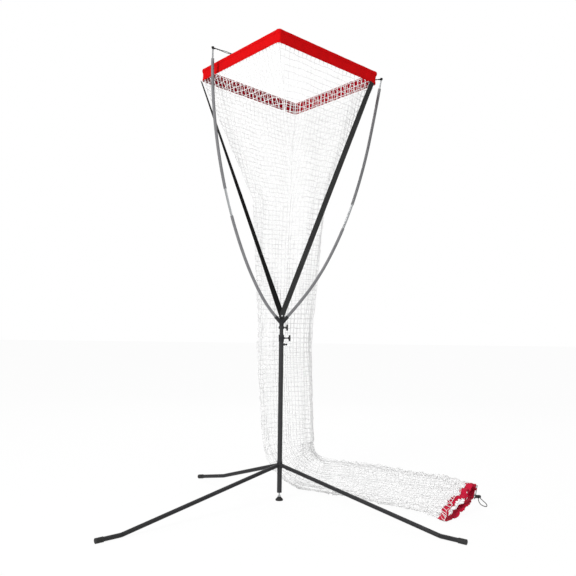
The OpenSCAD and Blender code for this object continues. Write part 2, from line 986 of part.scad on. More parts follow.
module target_band() {
    color(band_red)
        hoop_frame()
            rotate([0, 0, 45])
                difference() {
                    translate([0, 0, -band_h])
                        linear_extrude(band_h)
                            difference() {
                                rounded_square(hoop_side, band_corner_r);
                                rounded_square(hoop_side - 2 * band_t, band_corner_r - band_t);
                            }
                    translate([0, 0, -rod_drop])
                        rod_passage(elbow_d / 2 + plug_gap);
                }
}

// One rod of the hoop; quarter counts the sides from the near left one, anticlockwise
module hoop_rod(quarter) {
    length = 2 * rod_half - 2 * (elbow_len - rod_inset);
    color(bright_steel)
        hoop_frame()
            rotate([0, 0, 45 + 90 * quarter - 90])
                translate([-length / 2, -rod_half, -rod_drop])
                    rotate([0, 90, 0])
                        cylinder(d = rod_d, h = length);
}

// One corner elbow of the hoop; quarter counts from the left corner, anticlockwise
module elbow(quarter) {
    color(rubber_black)
        hoop_frame()
            rotate([0, 0, 90 * quarter - 45])
                translate([-rod_half, -rod_half, -rod_drop])
                    difference() {
                        union() {
                            sphere(d = elbow_d);
                            rotate([0, 90, 0])
                                cylinder(d = elbow_d, h = elbow_len);
                            rotate([-90, 0, 0])
                                cylinder(d = elbow_d, h = elbow_len);
                        }
                        translate([elbow_len - rod_inset - plug_gap, 0, 0])
                            rotate([0, 90, 0])
                                cylinder(d = rod_d + 2 * plug_gap, h = elbow_len);
                        translate([0, elbow_len - rod_inset - plug_gap, 0])
                            rotate([-90, 0, 0])
                                cylinder(d = rod_d + 2 * plug_gap, h = elbow_len);
                    }
}

module near_left_rod() {
    hoop_rod(0);
}

module near_right_rod() {
    hoop_rod(1);
}

module far_right_rod() {
    hoop_rod(2);
}

module far_left_rod() {
    hoop_rod(3);
}

module left_elbow() {
    elbow(0);
}

module near_elbow() {
    elbow(1);
}

module right_elbow() {
    elbow(2);
}

module far_elbow() {
    elbow(3);
}

// ---- Ties from the arms' tips to the band's top edge ----
corner_left = [-hoop_half_diag, 0, 0];
corner_near = [0, -hoop_half_diag, 0];
corner_right = [hoop_half_diag, 0, 0];
corner_far = [0, hoop_half_diag, 0];
tie_rise = tie_d / 2 + soft_gap;
left_tie_end = hoop_point(mix(corner_left, corner_near, left_tie_place) * 0.985 + [0, 0, tie_rise]);
right_tie_end = hoop_point(mix(corner_right, corner_far, right_tie_place) * 0.985 + [0, 0, tie_rise]);

module tie(side, end) {
    cap_centre = arm_point(side, arm_len + tip_cap_len / 2);
    away = unit(end - cap_centre);
    start = cap_centre + away * (tip_cap_d / 2 + soft_gap + tie_d / 4);
    color(rubber_black)
        solid_loft(tube_rings([for (i = [0:4]) mix(start, end, i / 4)], tie_d / 2, 8, [0, 0, 1]));
}

module left_tie() {
    tie(-1, left_tie_end);
}

module right_tie() {
    tie(1, right_tie_end);
}

// ---- Straps from the hoop's side corners to the bracket's tab ----
strap_clear = soft_gap + strap_t / 2;
left_strap_out = tab_t / 2 + strap_clear;
right_strap_out = left_strap_out + strap_t + soft_gap;
band_bottom = [0, 0, -band_h - soft_gap];
left_strap_top = hoop_point(corner_left * 0.995 + band_bottom - [0, 0, 1]);
right_strap_top = hoop_point(
    mix(corner_right, corner_near, strap_inset / hoop_side) * 1.012 + band_bottom
);

// Place on the tab, out from its centre plane towards the front
function tab_point(out, rise) = [out * sin(arm_yaw), -out * cos(arm_yaw), fork_z + rise];

// Turn of a strap's width away from +X, from its top to its bolt
left_turn = [[0, 80], [0.33, 63], [0.5, 53], [0.8, 44], [0.95, arm_yaw], [2, arm_yaw]];
right_turn = [[0, 39], [0.2, 20], [0.8, 17], [0.95, arm_yaw], [2, arm_yaw]];

// Centre line of a strap: straight to its knee, then flat along the tab past its bolt
strap_steps = 18;
function strap_path(top, out) =
    let (
        bolt = tab_point(out, strap_bolt_rise),
        normal = tab_point(1, 0) - tab_point(0, 0),
        span = top - bolt,
        flat = unit(span - normal * (span * normal))
    )
    concat(
        [for (i = [0:strap_steps]) mix(top, bolt + flat * strap_knee, i / strap_steps)],
        [bolt, bolt - flat * strap_end]
    );

// Four corners of a strap at point i of its path
function strap_ring(path, i, turns) =
    let (
        along = heading(path, i),
        turn = lookup(i / strap_steps, turns),
        flat = [cos(turn), sin(turn), 0],
        wide = unit(flat - along * (flat * along)),
        thick = cross(wide, along),
        c = path[i]
    )
    [
        c + wide * strap_w / 2 + thick * strap_t / 2,
        c + wide * strap_w / 2 - thick * strap_t / 2,
        c - wide * strap_w / 2 - thick * strap_t / 2,
        c - wide * strap_w / 2 + thick * strap_t / 2
    ];

module strap(top, out, turns) {
    path = strap_path(top, out);
    color(rubber_black)
        difference() {
            solid_loft([for (i = [0:len(path) - 1]) strap_ring(path, i, turns)]);
            strap_bolt_hole();
        }
}

module strap_bolt_hole() {
    fork_frame()
        translate([0, 20, strap_bolt_rise])
            rotate([90, 0, 0])
                cylinder(d = strap_bolt_d + 4 * hole_gap, h = 40);
}

module left_strap() {
    strap(left_strap_top, left_strap_out, left_turn);
}

module right_strap() {
    strap(right_strap_top, right_strap_out, right_turn);
}

module strap_bolt() {
    head_h = strap_bolt_d * 0.6;
    front = right_strap_out + strap_t / 2 + soft_gap + 1.2;
    nut_h = strap_bolt_d * 0.8;
    color(bright_steel)
        fork_frame()
            translate([0, 0, strap_bolt_rise])
                rotate([90, 0, 0]) {
                    translate([0, 0, front])
                        cylinder(d = strap_bolt_d * 1.8, h = head_h);
                    translate([0, 0, -tab_t / 2 - nut_h - 1])
                        cylinder(d = strap_bolt_d, h = front + tab_t / 2 + nut_h + 1 + eps);
                    translate([0, 0, -tab_t / 2 - nut_h])
                        cylinder(d = strap_bolt_d * 1.8, h = nut_h, $fn = 6);
                }
}

// ---- Net above the seam ----
net_points = 32;

// Rounded outline: power 1 is a diamond and power 2 an ellipse
function bulge(c, power) = sign(c) * pow(abs(c), 2 / power);

// Ring around c with half axes a and b
function net_ring(c, a, b, power) = [
    for (k = [0:net_points - 1])
        c + a * bulge(cos(360 * k / net_points), power) + b * bulge(sin(360 * k / net_points), power)
];

// The same ring drawn in by the envelope's thickness
function drawn_in(ring, c, t) = [for (p = ring) p - unit(p - c) * t];

hoop_mid_diag = hoop_half_diag - rod_inset_y * sqrt(2);
funnel_top_c = hoop_point([0, 0, -band_h - soft_gap]);
funnel_steps = 9;
sleeve_steps = 9;
drop_steps = 5;

// Centre, half width, half depth and outline power of the hanging net, by height
function net_c(z) = [
    lookup(z, [[landing_z, 60], [seam_z, 22], [sleeve_z, 36], [throat_z, 50], [funnel_top_c[2], funnel_top_c[0]]]),
    lookup(z, [
        [landing_z, sleeve_back + 143], [seam_z, sleeve_back + 14], [fork_z, sleeve_back],
        [sleeve_z, 2 * throat_back], [throat_z, throat_back], [funnel_top_c[2], funnel_top_c[1]]
    ]),
    z
];
function net_half_w(z) = lookup(z, [
    [landing_z, sleeve_w / 2 - 4], [fork_z, sleeve_w / 2], [sleeve_z, sleeve_top_w / 2],
    [throat_z, throat_w / 2], [funnel_top_c[2], hoop_mid_diag]
]);
function net_half_d(z) = lookup(z, [
    [landing_z, sleeve_w / 2 - 4], [fork_z, sleeve_w / 2 - 2], [sleeve_z, sleeve_top_w / 2 - 30],
    [throat_z, throat_depth / 2], [funnel_top_c[2], hoop_mid_diag]
]);
function net_power(z) = lookup(z, [
    [fork_z, 2], [sleeve_z, 1.9], [throat_z, 1.6], [funnel_top_c[2], 1.05]
]);

// How much of the hoop's turn and lean is left at a height
function hoop_share(z) = lookup(z, [[throat_z, 0], [funnel_top_c[2], 1]]);

// Level vector turned by part of the hoop's yaw and leaned with the hoop
function leaned(x, y, share) =
    let (
        yaw = hoop_yaw * share,
        v = [x * cos(yaw) - y * sin(yaw), x * sin(yaw) + y * cos(yaw)]
    )
    [v[0], v[1], share * (v[0] * hoop_slope_x + v[1] * hoop_slope_y)];

function hanging_ring(z) =
    let (share = hoop_share(z))
    net_ring(net_c(z), leaned(net_half_w(z), 0, share), leaned(0, net_half_d(z), share), net_power(z));

module hanging_net(from_z, to_z, steps) {
    heights = [for (i = [0:steps]) mix(from_z, to_z, i / steps)];
    color(net_white)
        shell_loft(
            [for (z = heights) hanging_ring(z)],
            [for (z = heights) drawn_in(hanging_ring(z), net_c(z), net_t)]
        );
}

module net_funnel() {
    hanging_net(throat_z, funnel_top_c[2], funnel_steps);
}

module net_sleeve() {
    hanging_net(seam_z, throat_z - soft_gap, sleeve_steps);
}

module net_drop() {
    hanging_net(landing_z, seam_z - soft_gap, drop_steps);
}

// ---- Net on the floor ----
// Stations along the floor after the landing bend: x, y, heading, half width, half height and roll
landing_dir = -25;
floor_half_h = floor_net_h / 2;
floor_half_w = floor_net_w / 2;
floor_stations = [
    [370, 300, -27, floor_half_w - 10, floor_half_h, 0],
    [500, 226, -33, floor_half_w, floor_half_h, 0],
    [640, 126, -37, floor_half_w + 8, floor_half_h, 0],
    [780, 12, -37, floor_half_w, floor_half_h - 2, 0],
    [910, -82, -35, floor_half_w - 10, floor_half_h - 6, 2],
    [1030, -180, -36, floor_half_w - 30, floor_half_h - 16, 8],
    [1128, -292, -36, 206, 56, 18]
];
landing_steps = 6;
landing_c = net_c(landing_z);
level_z = landing_z - landing_r;

function dir_vec(a) = [cos(a), sin(a), 0];

// Ring of the landing bend at angle a from straight down
function landing_ring(a, t) =
    let (
        share = a / 90,
        ahead = dir_vec(landing_dir),
        c = landing_c + landing_r * (1 - cos(a)) * ahead - [0, 0, landing_r * sin(a)],
        wide = dir_vec(landing_dir + 90) * mix(sleeve_w / 2 - 4, floor_half_w - 24, share),
        tall = (ahead * cos(a) + [0, 0, sin(a)]) * mix(sleeve_w / 2 - 4, floor_half_h, share)
    )
    floor_ring(c, wide, tall, t);

// Ring on the floor at station s
function station_ring(s, t) =
    let (
        c = [s[0], s[1], max(s[4] * cos(s[5]) + s[3] * sin(s[5]) * 0.42, level_z * 0.5)],
        flat = dir_vec(s[2] + 90),
        wide = flat * cos(s[5]) + [0, 0, sin(s[5])],
        tall = [0, 0, cos(s[5])] - flat * sin(s[5])
    )
    floor_ring(c, wide * s[3], tall * s[4], t);

// Ring drawn in by t and kept on top of the floor
function floor_ring(c, a, b, t) = [
    for (p = drawn_in(net_ring(c, a, b, 2), c, t))
        [p[0], p[1], max(p[2], t)]
];

function tail_rings(t) = concat(
    [for (i = [0:landing_steps]) landing_ring(i * 90 / landing_steps, t)],
    [for (s = floor_stations) station_ring(s, t)]
);

module net_tail() {
    color(net_white)
        shell_loft(tail_rings(0), tail_rings(net_t));
}

module end_band() {
    last = floor_stations[len(floor_stations) - 1];
    ahead = dir_vec(last[2]);
    color(band_red)
        shell_loft(
            [for (d = [soft_gap, end_band_len]) [for (p = station_ring(last, 0)) p + ahead * d]],
            [for (d = [soft_gap, end_band_len]) [for (p = station_ring(last, end_band_t)) p + ahead * d]]
        );
}

// ---- Drawstring and its lock ----
// The string leaves the band, passes the lock, makes a loop on the floor and comes back
string_points = [
    [1262.7, -146.8, 144], [1266, -142, 145.5], [1273, -104, 120], [1284, -35, 58], [1300, 45, 15],
    [1316, 112, 5],
    [1324, 160, 4], [1340, 187, 6], [1354, 172, 10], [1358, 150, 11], [1358, 124, 11],
    [1359, 98, 10], [1366, 40, 4], [1364, -50, 3.2], [1346, -108, 3.2], [1328, -82, 3.2],
    [1327, -25, 3.2], [1338, 45, 4], [1350, 98, 10], [1351, 124, 11], [1351, 140, 11],
    [1346, 154, 9], [1338, 156, 7], [1333, 144, 5], [1328, 112, 5], [1312, 44, 15],
    [1296, -36, 58], [1284, -108, 120], [1276, -149, 145.5], [1272.7, -153.8, 144]
];
lock_c = [1354.5, 124, 11];
lock_x0 = lock_c[0] - lock_len * 0.56;
lock_x1 = lock_x0 + lock_len;
lock_bore = lock_d - 2 * lock_wall;
string_hole_r = string_d / 2 + plug_gap;
string_reach = 3.5;
button_end_t = 2;

// Slot across the lock for both strands, longer by extra towards +X
module string_slot(extra) {
    for (x = [-string_reach, string_reach])
        translate([x, lock_d, 0])
            rotate([90, 0, 0])
                cylinder(r = string_hole_r, h = 2 * lock_d);
    translate([-string_reach, -lock_d, -string_hole_r])
        cube([2 * string_reach, 2 * lock_d, 2 * string_hole_r]);
    if (extra > 0)
        translate([0, -lock_d, -string_hole_r])
            cube([string_reach + string_hole_r + extra, 2 * lock_d, 2 * string_hole_r]);
}

module cord_lock() {
    color(rubber_black)
        difference() {
            translate([0, lock_c[1], lock_c[2]])
                x_rod(lock_d / 2, lock_x0, lock_x1);
            translate([0, lock_c[1], lock_c[2]])
                x_rod(lock_bore / 2, lock_x0 + lock_wall, lock_x1 + 1);
            translate(lock_c)
                string_slot(0);
        }
}

button_x0 = lock_c[0] - string_reach - string_hole_r - button_end_t;

module lock_button() {
    color(rubber_black)
        difference() {
            translate([0, lock_c[1], lock_c[2]])
                x_rod(lock_bore / 2 - slide_gap, button_x0, lock_x1 + button_out);
            translate(lock_c)
                string_slot(button_travel);
        }
}

module lock_spring() {
    wire = 0.8;
    color(bright_steel)
        translate([0, lock_c[1], lock_c[2]])
            coil(lock_x0 + lock_wall + 0.1, button_x0 - 0.1, lock_bore / 2 - 2, wire, 3);
}

// Smooth curve through the string's points
function spline_point(p, s) =
    let (
        i = min(floor(s), len(p) - 2),
        t = s - i,
        p0 = p[max(i - 1, 0)],
        p1 = p[i],
        p2 = p[i + 1],
        p3 = p[min(i + 2, len(p) - 1)]
    )
    0.5 * (2 * p1 + (p2 - p0) * t + (2 * p0 - 5 * p1 + 4 * p2 - p3) * t * t
        + (3 * p1 - p0 - 3 * p2 + p3) * t * t * t);

module drawstring() {
    count = 82;
    path = [for (i = [0:count]) spline_point(string_points, i / count * (len(string_points) - 1))];
    color(rubber_black)
        solid_loft(tube_rings(path, string_d / 2, 8, [0.3, 0.1, 1]));
}

lower_pole();
pole_plug();
foot_stud();
foot_nut();
foot_pad();
leg_hub();
front_left_leg();
front_right_leg();
back_leg();
front_left_cap();
front_right_cap();
back_cap();
leg_bolts();
slide_bush();
clamp_collar();
lower_knob();
pin_housing();
pull_pin();
pin_spring();
mast_tube();
mast_guide();
head_bracket();
head_collar();
upper_knob();
left_lower_arm();
left_joiner();
left_upper_arm();
left_tip();
left_tip_cap();
right_lower_arm();
right_joiner();
right_upper_arm();
right_tip();
right_tip_cap();
left_tie();
right_tie();
near_left_rod();
near_right_rod();
far_right_rod();
far_left_rod();
left_elbow();
near_elbow();
right_elbow();
far_elbow();
target_band();
left_strap();
right_strap();
strap_bolt();
net_funnel();
net_sleeve();
net_drop();
net_tail();
end_band();
drawstring();
cord_lock();
lock_button();
lock_spring();
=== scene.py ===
import json
import math
import bmesh
import bpy
import numpy as np
from mathutils import Matrix, Vector


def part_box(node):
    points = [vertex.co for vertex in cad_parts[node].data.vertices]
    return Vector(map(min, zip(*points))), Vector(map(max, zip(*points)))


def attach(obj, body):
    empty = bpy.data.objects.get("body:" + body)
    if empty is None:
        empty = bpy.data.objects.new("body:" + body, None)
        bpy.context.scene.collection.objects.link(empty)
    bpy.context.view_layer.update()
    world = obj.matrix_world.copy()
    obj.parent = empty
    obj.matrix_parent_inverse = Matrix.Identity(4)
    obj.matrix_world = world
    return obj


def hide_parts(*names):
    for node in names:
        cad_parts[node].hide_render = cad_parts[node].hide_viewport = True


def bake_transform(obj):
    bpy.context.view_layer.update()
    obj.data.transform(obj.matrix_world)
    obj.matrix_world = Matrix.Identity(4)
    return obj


# A square target hoop on two bowed arms, over a net funnel whose sleeve runs out on the floor.

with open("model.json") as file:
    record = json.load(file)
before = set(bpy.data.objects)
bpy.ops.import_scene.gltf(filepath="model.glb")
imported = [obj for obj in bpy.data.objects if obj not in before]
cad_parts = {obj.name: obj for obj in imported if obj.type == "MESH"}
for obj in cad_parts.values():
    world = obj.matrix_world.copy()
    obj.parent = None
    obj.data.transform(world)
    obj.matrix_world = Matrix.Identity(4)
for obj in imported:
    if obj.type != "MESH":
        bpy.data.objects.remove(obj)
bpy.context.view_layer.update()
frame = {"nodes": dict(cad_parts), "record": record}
nodes = frame["nodes"]
mm = 0.001


def link(thing):
    bpy.context.scene.collection.objects.link(thing)
    return thing


print("camera")

cameraSet = {
    "place": (0.0409, -4.6749, 1.1644),
    "tilt": 3.0568,   # degrees up
    "roll": 0.7127,
    "lens": 43.30,
}


def makeCamera(v):
    data = bpy.data.cameras.new("frontView")
    data.lens = v["lens"]
    data.clip_end = 100
    camera = link(bpy.data.objects.new("frontView", data))
    tilt, roll = math.radians(v["tilt"]), math.radians(v["roll"])
    look = Vector((0, math.cos(tilt), math.sin(tilt)))
    upright = Vector((0, -math.sin(tilt), math.cos(tilt)))
    right = Vector((math.cos(roll), 0, 0)) + upright * math.sin(roll)
    up = upright * math.cos(roll) - Vector((math.sin(roll), 0, 0))
    turn = Matrix((right, up, -look)).transposed().to_4x4()
    camera.matrix_world = Matrix.Translation(v["place"]) @ turn
    bpy.context.scene.camera = camera


makeCamera(cameraSet)


class Parts:
    # Points and faces that become one mesh; all lengths here are millimetres.
    def __init__(self):
        self.points, self.faces, self.count = [], [], 0

    def add(self, points, faces):
        points = np.asarray(points, float).reshape(-1, 3)
        self.points.append(points)
        self.faces += (np.asarray(faces) + self.count).tolist()
        self.count += len(points)

    def build(self, name, smooth=True):
        mesh = bpy.data.meshes.new(name)
        mesh.from_pydata((np.vstack(self.points) * mm).tolist(), [], self.faces)
        mesh.polygons.foreach_set("use_smooth", [smooth] * len(mesh.polygons))
        mesh.update()
        return link(bpy.data.objects.new(name, mesh))


def faceOut(piece):
    # Turn every face outwards
    shape = bmesh.new()
    shape.from_mesh(piece.data)
    bmesh.ops.recalc_face_normals(shape, faces=shape.faces)
    shape.to_mesh(piece.data)
    shape.free()
    return piece


def unit(v):
    v = np.asarray(v, float)
    return v / np.maximum(np.linalg.norm(v, axis=-1, keepdims=True), 1e-9)


def headings(line, closed=False):
    if closed:
        return unit(np.roll(line, -1, 0) - np.roll(line, 1, 0))
    return unit(np.gradient(line, axis=0))


def wallFaces(rows, across, closed=False):
    # Quads between rows of a tube with so many points across
    i = np.arange(rows if closed else rows - 1)[:, None]
    j = np.arange(across)[None]
    k, n = (j + 1) % across, (i + 1) % rows
    corners = [i * across + j, i * across + k, n * across + k, n * across + j]
    return np.stack(corners, -1).reshape(-1, 4)


def cordTube(parts, line, outward, radius, sides=4, closed=False, capped=False):
    # A round tube along line; outward is a direction at each point that the line never follows
    line = np.asarray(line, float)
    ahead = headings(line, closed)
    outward = np.broadcast_to(np.asarray(outward, float), line.shape)
    u = unit(outward - ahead * (outward * ahead).sum(1, keepdims=True))
    v = np.cross(ahead, u)
    turn = 2 * math.pi * np.arange(sides) / sides
    size = np.broadcast_to(np.asarray(radius, float), (len(line),))[:, None, None]
    circle = u[:, None] * np.cos(turn)[:, None] + v[:, None] * np.sin(turn)[:, None]
    rings = line[:, None] + size * circle
    parts.add(rings, wallFaces(len(line), sides, closed))
    if capped:
        first = parts.count - len(line) * sides
        last = parts.count - sides
        parts.faces.append(list(range(first, first + sides))[::-1])
        parts.faces.append(list(range(last, last + sides)))


def blob(parts, centre, radius, axes, rings=6, sides=10):
    # A rounded lump, such as a knot, with a small flat at each end
    flat = 0.12
    a = np.linspace(flat, math.pi - flat, rings)[:, None]
    b = 2 * math.pi * np.arange(sides)[None] / sides
    local = np.stack([np.sin(a) * np.cos(b), np.sin(a) * np.sin(b), np.cos(a) + 0 * b], -1)
    parts.add(centre + (local * radius) @ np.asarray(axes), wallFaces(rings, sides))
    first = parts.count - rings * sides
    parts.faces.append(list(range(first, first + sides))[::-1])
    parts.faces.append(list(range(parts.count - sides, parts.count)))


def smoothLine(points, count):
    # Catmull-Rom line through the points
    p = np.asarray(points, float)
    s = np.linspace(0, len(p) - 1, count)
    i = np.minimum(s.astype(int), len(p) - 2)
    t = (s - i)[:, None]
    p0, p1 = p[np.maximum(i - 1, 0)], p[i]
    p2, p3 = p[i + 1], p[np.minimum(i + 2, len(p) - 1)]
    return 0.5 * (2 * p1 + (p2 - p0) * t + (2 * p0 - 5 * p1 + 4 * p2 - p3) * t ** 2
                  + (3 * p1 - p0 - 3 * p2 + p3) * t ** 3)


def lookUp(x, table):
    table = sorted(table)
    return float(np.interp(x, [row[0] for row in table], [row[1] for row in table]))


print("drawstring")

stringSet = {
    "thick": 5,
    "steps": 480, "sides": 10,
    "points": [
        (1262.7, -146.8, 144), (1266, -142, 145.5), (1273, -104, 120), (1284, -35, 58), (1300, 45, 15),
        (1316, 112, 5), (1324, 160, 4), (1340, 187, 6), (1354, 172, 10), (1358, 150, 11), (1358, 124, 11),
        (1359, 98, 10), (1366, 40, 4), (1364, -50, 3.2), (1346, -108, 3.2), (1328, -82, 3.2),
        (1327, -25, 3.2), (1338, 45, 4), (1350, 98, 10), (1351, 124, 11), (1351, 140, 11),
        (1346, 154, 9), (1338, 156, 7), (1333, 144, 5), (1328, 112, 5), (1312, 44, 15),
        (1296, -36, 58), (1284, -108, 120), (1276, -149, 145.5), (1272.7, -153.8, 144),
    ],
}


def makeString(v):
    line = smoothLine(v["points"], v["steps"])
    parts = Parts()
    cordTube(parts, line, (0.3, 0.1, 1), v["thick"] / 2, v["sides"], capped=True)
    string = parts.build("drawCord")
    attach(string, "base")
    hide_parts("drawstring")
    return string


drawCord = makeString(stringSet)


hoopSet = {
    "side": 859, "x": 27, "z": 2909,
    "yaw": -5.7, "pitch": 3.3, "roll": 2.7,   # degrees
    "height": 87, "corner": 24,
    "cornerSteps": 8,
}
halfDiag = hoopSet["side"] / math.sqrt(2)


def hoopPoint(p):
    # Points given in the hoop's own frame, in the part's frame
    p = np.asarray(p, float)
    yaw, pitch, roll = (math.radians(hoopSet[k]) for k in ("yaw", "pitch", "roll"))
    x = p[..., 0] * math.cos(yaw) - p[..., 1] * math.sin(yaw)
    y = p[..., 0] * math.sin(yaw) + p[..., 1] * math.cos(yaw)
    y2 = y * math.cos(pitch) + p[..., 2] * math.sin(pitch)
    z2 = -y * math.sin(pitch) + p[..., 2] * math.cos(pitch)
    return np.stack([
        hoopSet["x"] + x * math.cos(roll) + z2 * math.sin(roll), y2,
        hoopSet["z"] - x * math.sin(roll) + z2 * math.cos(roll)], -1)


print("target band")

bandSet = {
    "steps": 46,       # along one side
    "ripple": 1.1,     # how far the cloth waves in and out
    "elbow": 7,        # how far the rods' corner pieces push the hem out
    "rodHeight": -14,
    "stitch": 5, "stitchGap": 8, "thread": 0.45,
    "stitchRows": (-23, -76), "stitchOut": 0.1,
}


def hoopLine(v, steps):
    # Points and outward directions round the hoop's outside, in its own frame
    places, outs = [], []
    core = v["side"] / 2 - v["corner"]
    for q in range(4):
        mid = math.radians(45 + 90 * q)
        corner = core * math.sqrt(2) * np.array((math.cos(mid), math.sin(mid)))
        for k in range(v["cornerSteps"] + 1):
            a = math.radians(90 * q + 90 * k / v["cornerSteps"])
            out = np.array((math.cos(a), math.sin(a)))
            places.append(corner + out * v["corner"])
            outs.append(out)
        nextMid = math.radians(135 + 90 * q)
        a = math.radians(90 + 90 * q)
        out = np.array((math.cos(a), math.sin(a)))
        start = places[-1]
        end = core * math.sqrt(2) * np.array((math.cos(nextMid), math.sin(nextMid))) + out * v["corner"]
        for k in range(1, steps):
            places.append(start + (end - start) * k / steps)
            outs.append(out)
    turn = math.radians(45)
    spin = np.array([[math.cos(turn), math.sin(turn)], [-math.sin(turn), math.cos(turn)]])
    return np.array(places) @ spin, np.array(outs) @ spin


def bandPoint(places, outs, out, height):
    # Out from the band's outside face, and up from its top
    flat = places + outs * np.asarray(out)[..., None]
    level = np.broadcast_to(np.asarray(height, float)[..., None], flat.shape[:-1] + (1,))
    return hoopPoint(np.concatenate([flat, level], -1))


def makeBand(v):
    places, outs = hoopLine(hoopSet, v["steps"])
    n = len(places)
    along = np.linspace(0, 2 * math.pi, n, endpoint=False)
    # Cross-section: distance out from the band's outside face, and height
    section = [
        (-0.5, -2.5), (-0.1, -8), (0, -14), (-0.2, -21), (-1.4, -25), (-1, -34), (-0.6, -48), (-0.8, -62),
        (-1.2, -74), (-0.5, -78), (-0.3, -83), (-1.2, -86.6), (-2.6, -87), (-4, -86.4), (-4.8, -83),
        (-4.4, -77), (-4.2, -62), (-4.4, -44), (-5.6, -30), (-10, -25), (-14.5, -21), (-16, -14),
        (-15.6, -7), (-13, -1.8), (-8, 0), (-3, -0.5),
    ]
    corner = np.zeros(n)
    for q in range(4):
        start = q * (hoopSet["cornerSteps"] + v["steps"])
        count = hoopSet["cornerSteps"] + 1
        corner[start:start + count] = np.sin(np.linspace(0.25, math.pi - 0.25, count))
    rings = []
    for out, height in section:
        if out > -8:
            out = out + v["elbow"] * corner * math.exp(-((height - v["rodHeight"]) / 16) ** 2)
        middle = math.sin(math.pi * min(1, max(0, (-height - 22) / 58)))
        wave = v["ripple"] * middle * (np.sin(23 * along + 0.8) + 0.7 * np.sin(57 * along + 2) - 1.4)
        rings.append(bandPoint(places, outs, out + wave, height + 0.5 * np.sin(31 * along + height)))
    rings = np.stack(rings, 1)
    parts = Parts()
    parts.add(rings, wallFaces(n, len(section), closed=True)[:, ::-1])
    band = faceOut(parts.build("targetBandCloth"))
    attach(band, "head")
    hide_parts("target_band")
    across = len(section)
    # The inside faces, from the foot up to the hem, get a darker red: painted shade for the same cloth in
    # shadow
    shadedInside = [int(13 <= i % across <= 22) for i in range(n * across)]
    band.data.polygons.foreach_set("material_index", shadedInside)
    return band


def makeStitches(v):
    # Two rows of hem stitches round the band
    places, outs = hoopLine(hoopSet, 120)
    gaps = np.linalg.norm(np.diff(np.vstack([places, places[:1]]), axis=0), axis=1)
    run = np.concatenate([[0], np.cumsum(gaps)])
    parts = Parts()
    closedPlaces, closedOuts = (np.vstack([a, a[:1]]) for a in (places, outs))
    for height in v["stitchRows"]:
        for s in np.arange(4, run[-1] - v["stitch"], v["stitchGap"]):
            both = (s, s + v["stitch"])
            ends = np.array([[np.interp(x, run, closedPlaces[:, a]) for a in (0, 1)] for x in both])
            dirs = [np.interp(s, run, closedOuts[:, a]) for a in (0, 1)]
            line = bandPoint(ends, np.array([dirs, dirs]), np.full(2, v["stitchOut"]), np.full(2, height))
            outward = hoopPoint((*dirs, 0)) - hoopPoint((0, 0, 0))
            cordTube(parts, line, outward, v["thread"], 4, capped=True)
    stitches = parts.build("bandStitching")
    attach(stitches, "head")
    return stitches


targetBand = makeBand(bandSet)
bandStitching = makeStitches(bandSet)


print("net")

netSet = {
    "mesh": 35,              # square mesh, side of one cell
    "hangingRows": 73, "landingRows": 10, "floorRows": 31,
    "cord": 3.5, "knot": 6.0, "seamCord": 4.6,
    "hoopColumns": 24,       # cords along one side of the hoop
    "cornerReach": 593,      # how far the net goes into the band's rounded corners
    "sleeveWidth": 430,      # width of one of the four panels from the throat down
    "folds": 9, "smallFolds": 14,
    "foldDepth": 17, "floorFold": 7,
    "wobble": 5, "crumple": 15, "nearShift": 22,
    "crushFrom": 74, "crushOver": 12,   # rows over which the hanging net turns into the crumpled run
    "throatZ": 2030, "throatW": 536, "throatD": 500, "throatBack": 100,
    "sleeveZ": 1690, "sleeveTopW": 490, "sleeveW": 408, "sleeveBack": 292, "forkZ": 1174,
    "seamZ": 1000, "landingZ": 330, "landingR": 225, "landingDir": -25, "landingHalf": 200,
    "floorHalfW": 255, "floorHalfH": 104,
    "bandRows": ((-13, 18), (-46, 8), (-79, 8)),   # height and inset of the rows inside the band
    "lastLanding": 81,       # degrees through the bend of the last row before the floor
    "turnFootZ": 1260, "liftFootZ": 400,   # where the sleeve stops twisting, and stretching
}
bandFoot = hoopPoint((0, 0, -hoopSet["height"] - 0.3))
midDiag = halfDiag - 8 * math.sqrt(2)


def netCentre(z):
    v = netSet
    back = [(v["landingZ"], v["sleeveBack"] + 143), (v["seamZ"], v["sleeveBack"] + 14),
            (v["forkZ"], v["sleeveBack"]), (v["sleeveZ"], 2 * v["throatBack"]),
            (v["throatZ"], v["throatBack"]), (bandFoot[2], bandFoot[1])]
    side = [(v["landingZ"], 60), (v["seamZ"], 22), (v["sleeveZ"], 36), (v["throatZ"], 50),
            (bandFoot[2], bandFoot[0])]
    return np.array((lookUp(z, side), lookUp(z, back), z))


def ringLine(centre, across, along, power, lying=False):
    # A lying ring starts where the hanging rings do and runs the same way round
    turn = np.linspace(0, 2 * math.pi, 241)
    if lying:
        turn = math.radians(90 + netSet["landingDir"]) - turn
    c, s = np.cos(turn), np.sin(turn)
    bulge = [np.sign(w) * np.abs(w) ** (2 / power) for w in (c, s)]
    return centre + np.outer(bulge[0], across) + np.outer(bulge[1], along)


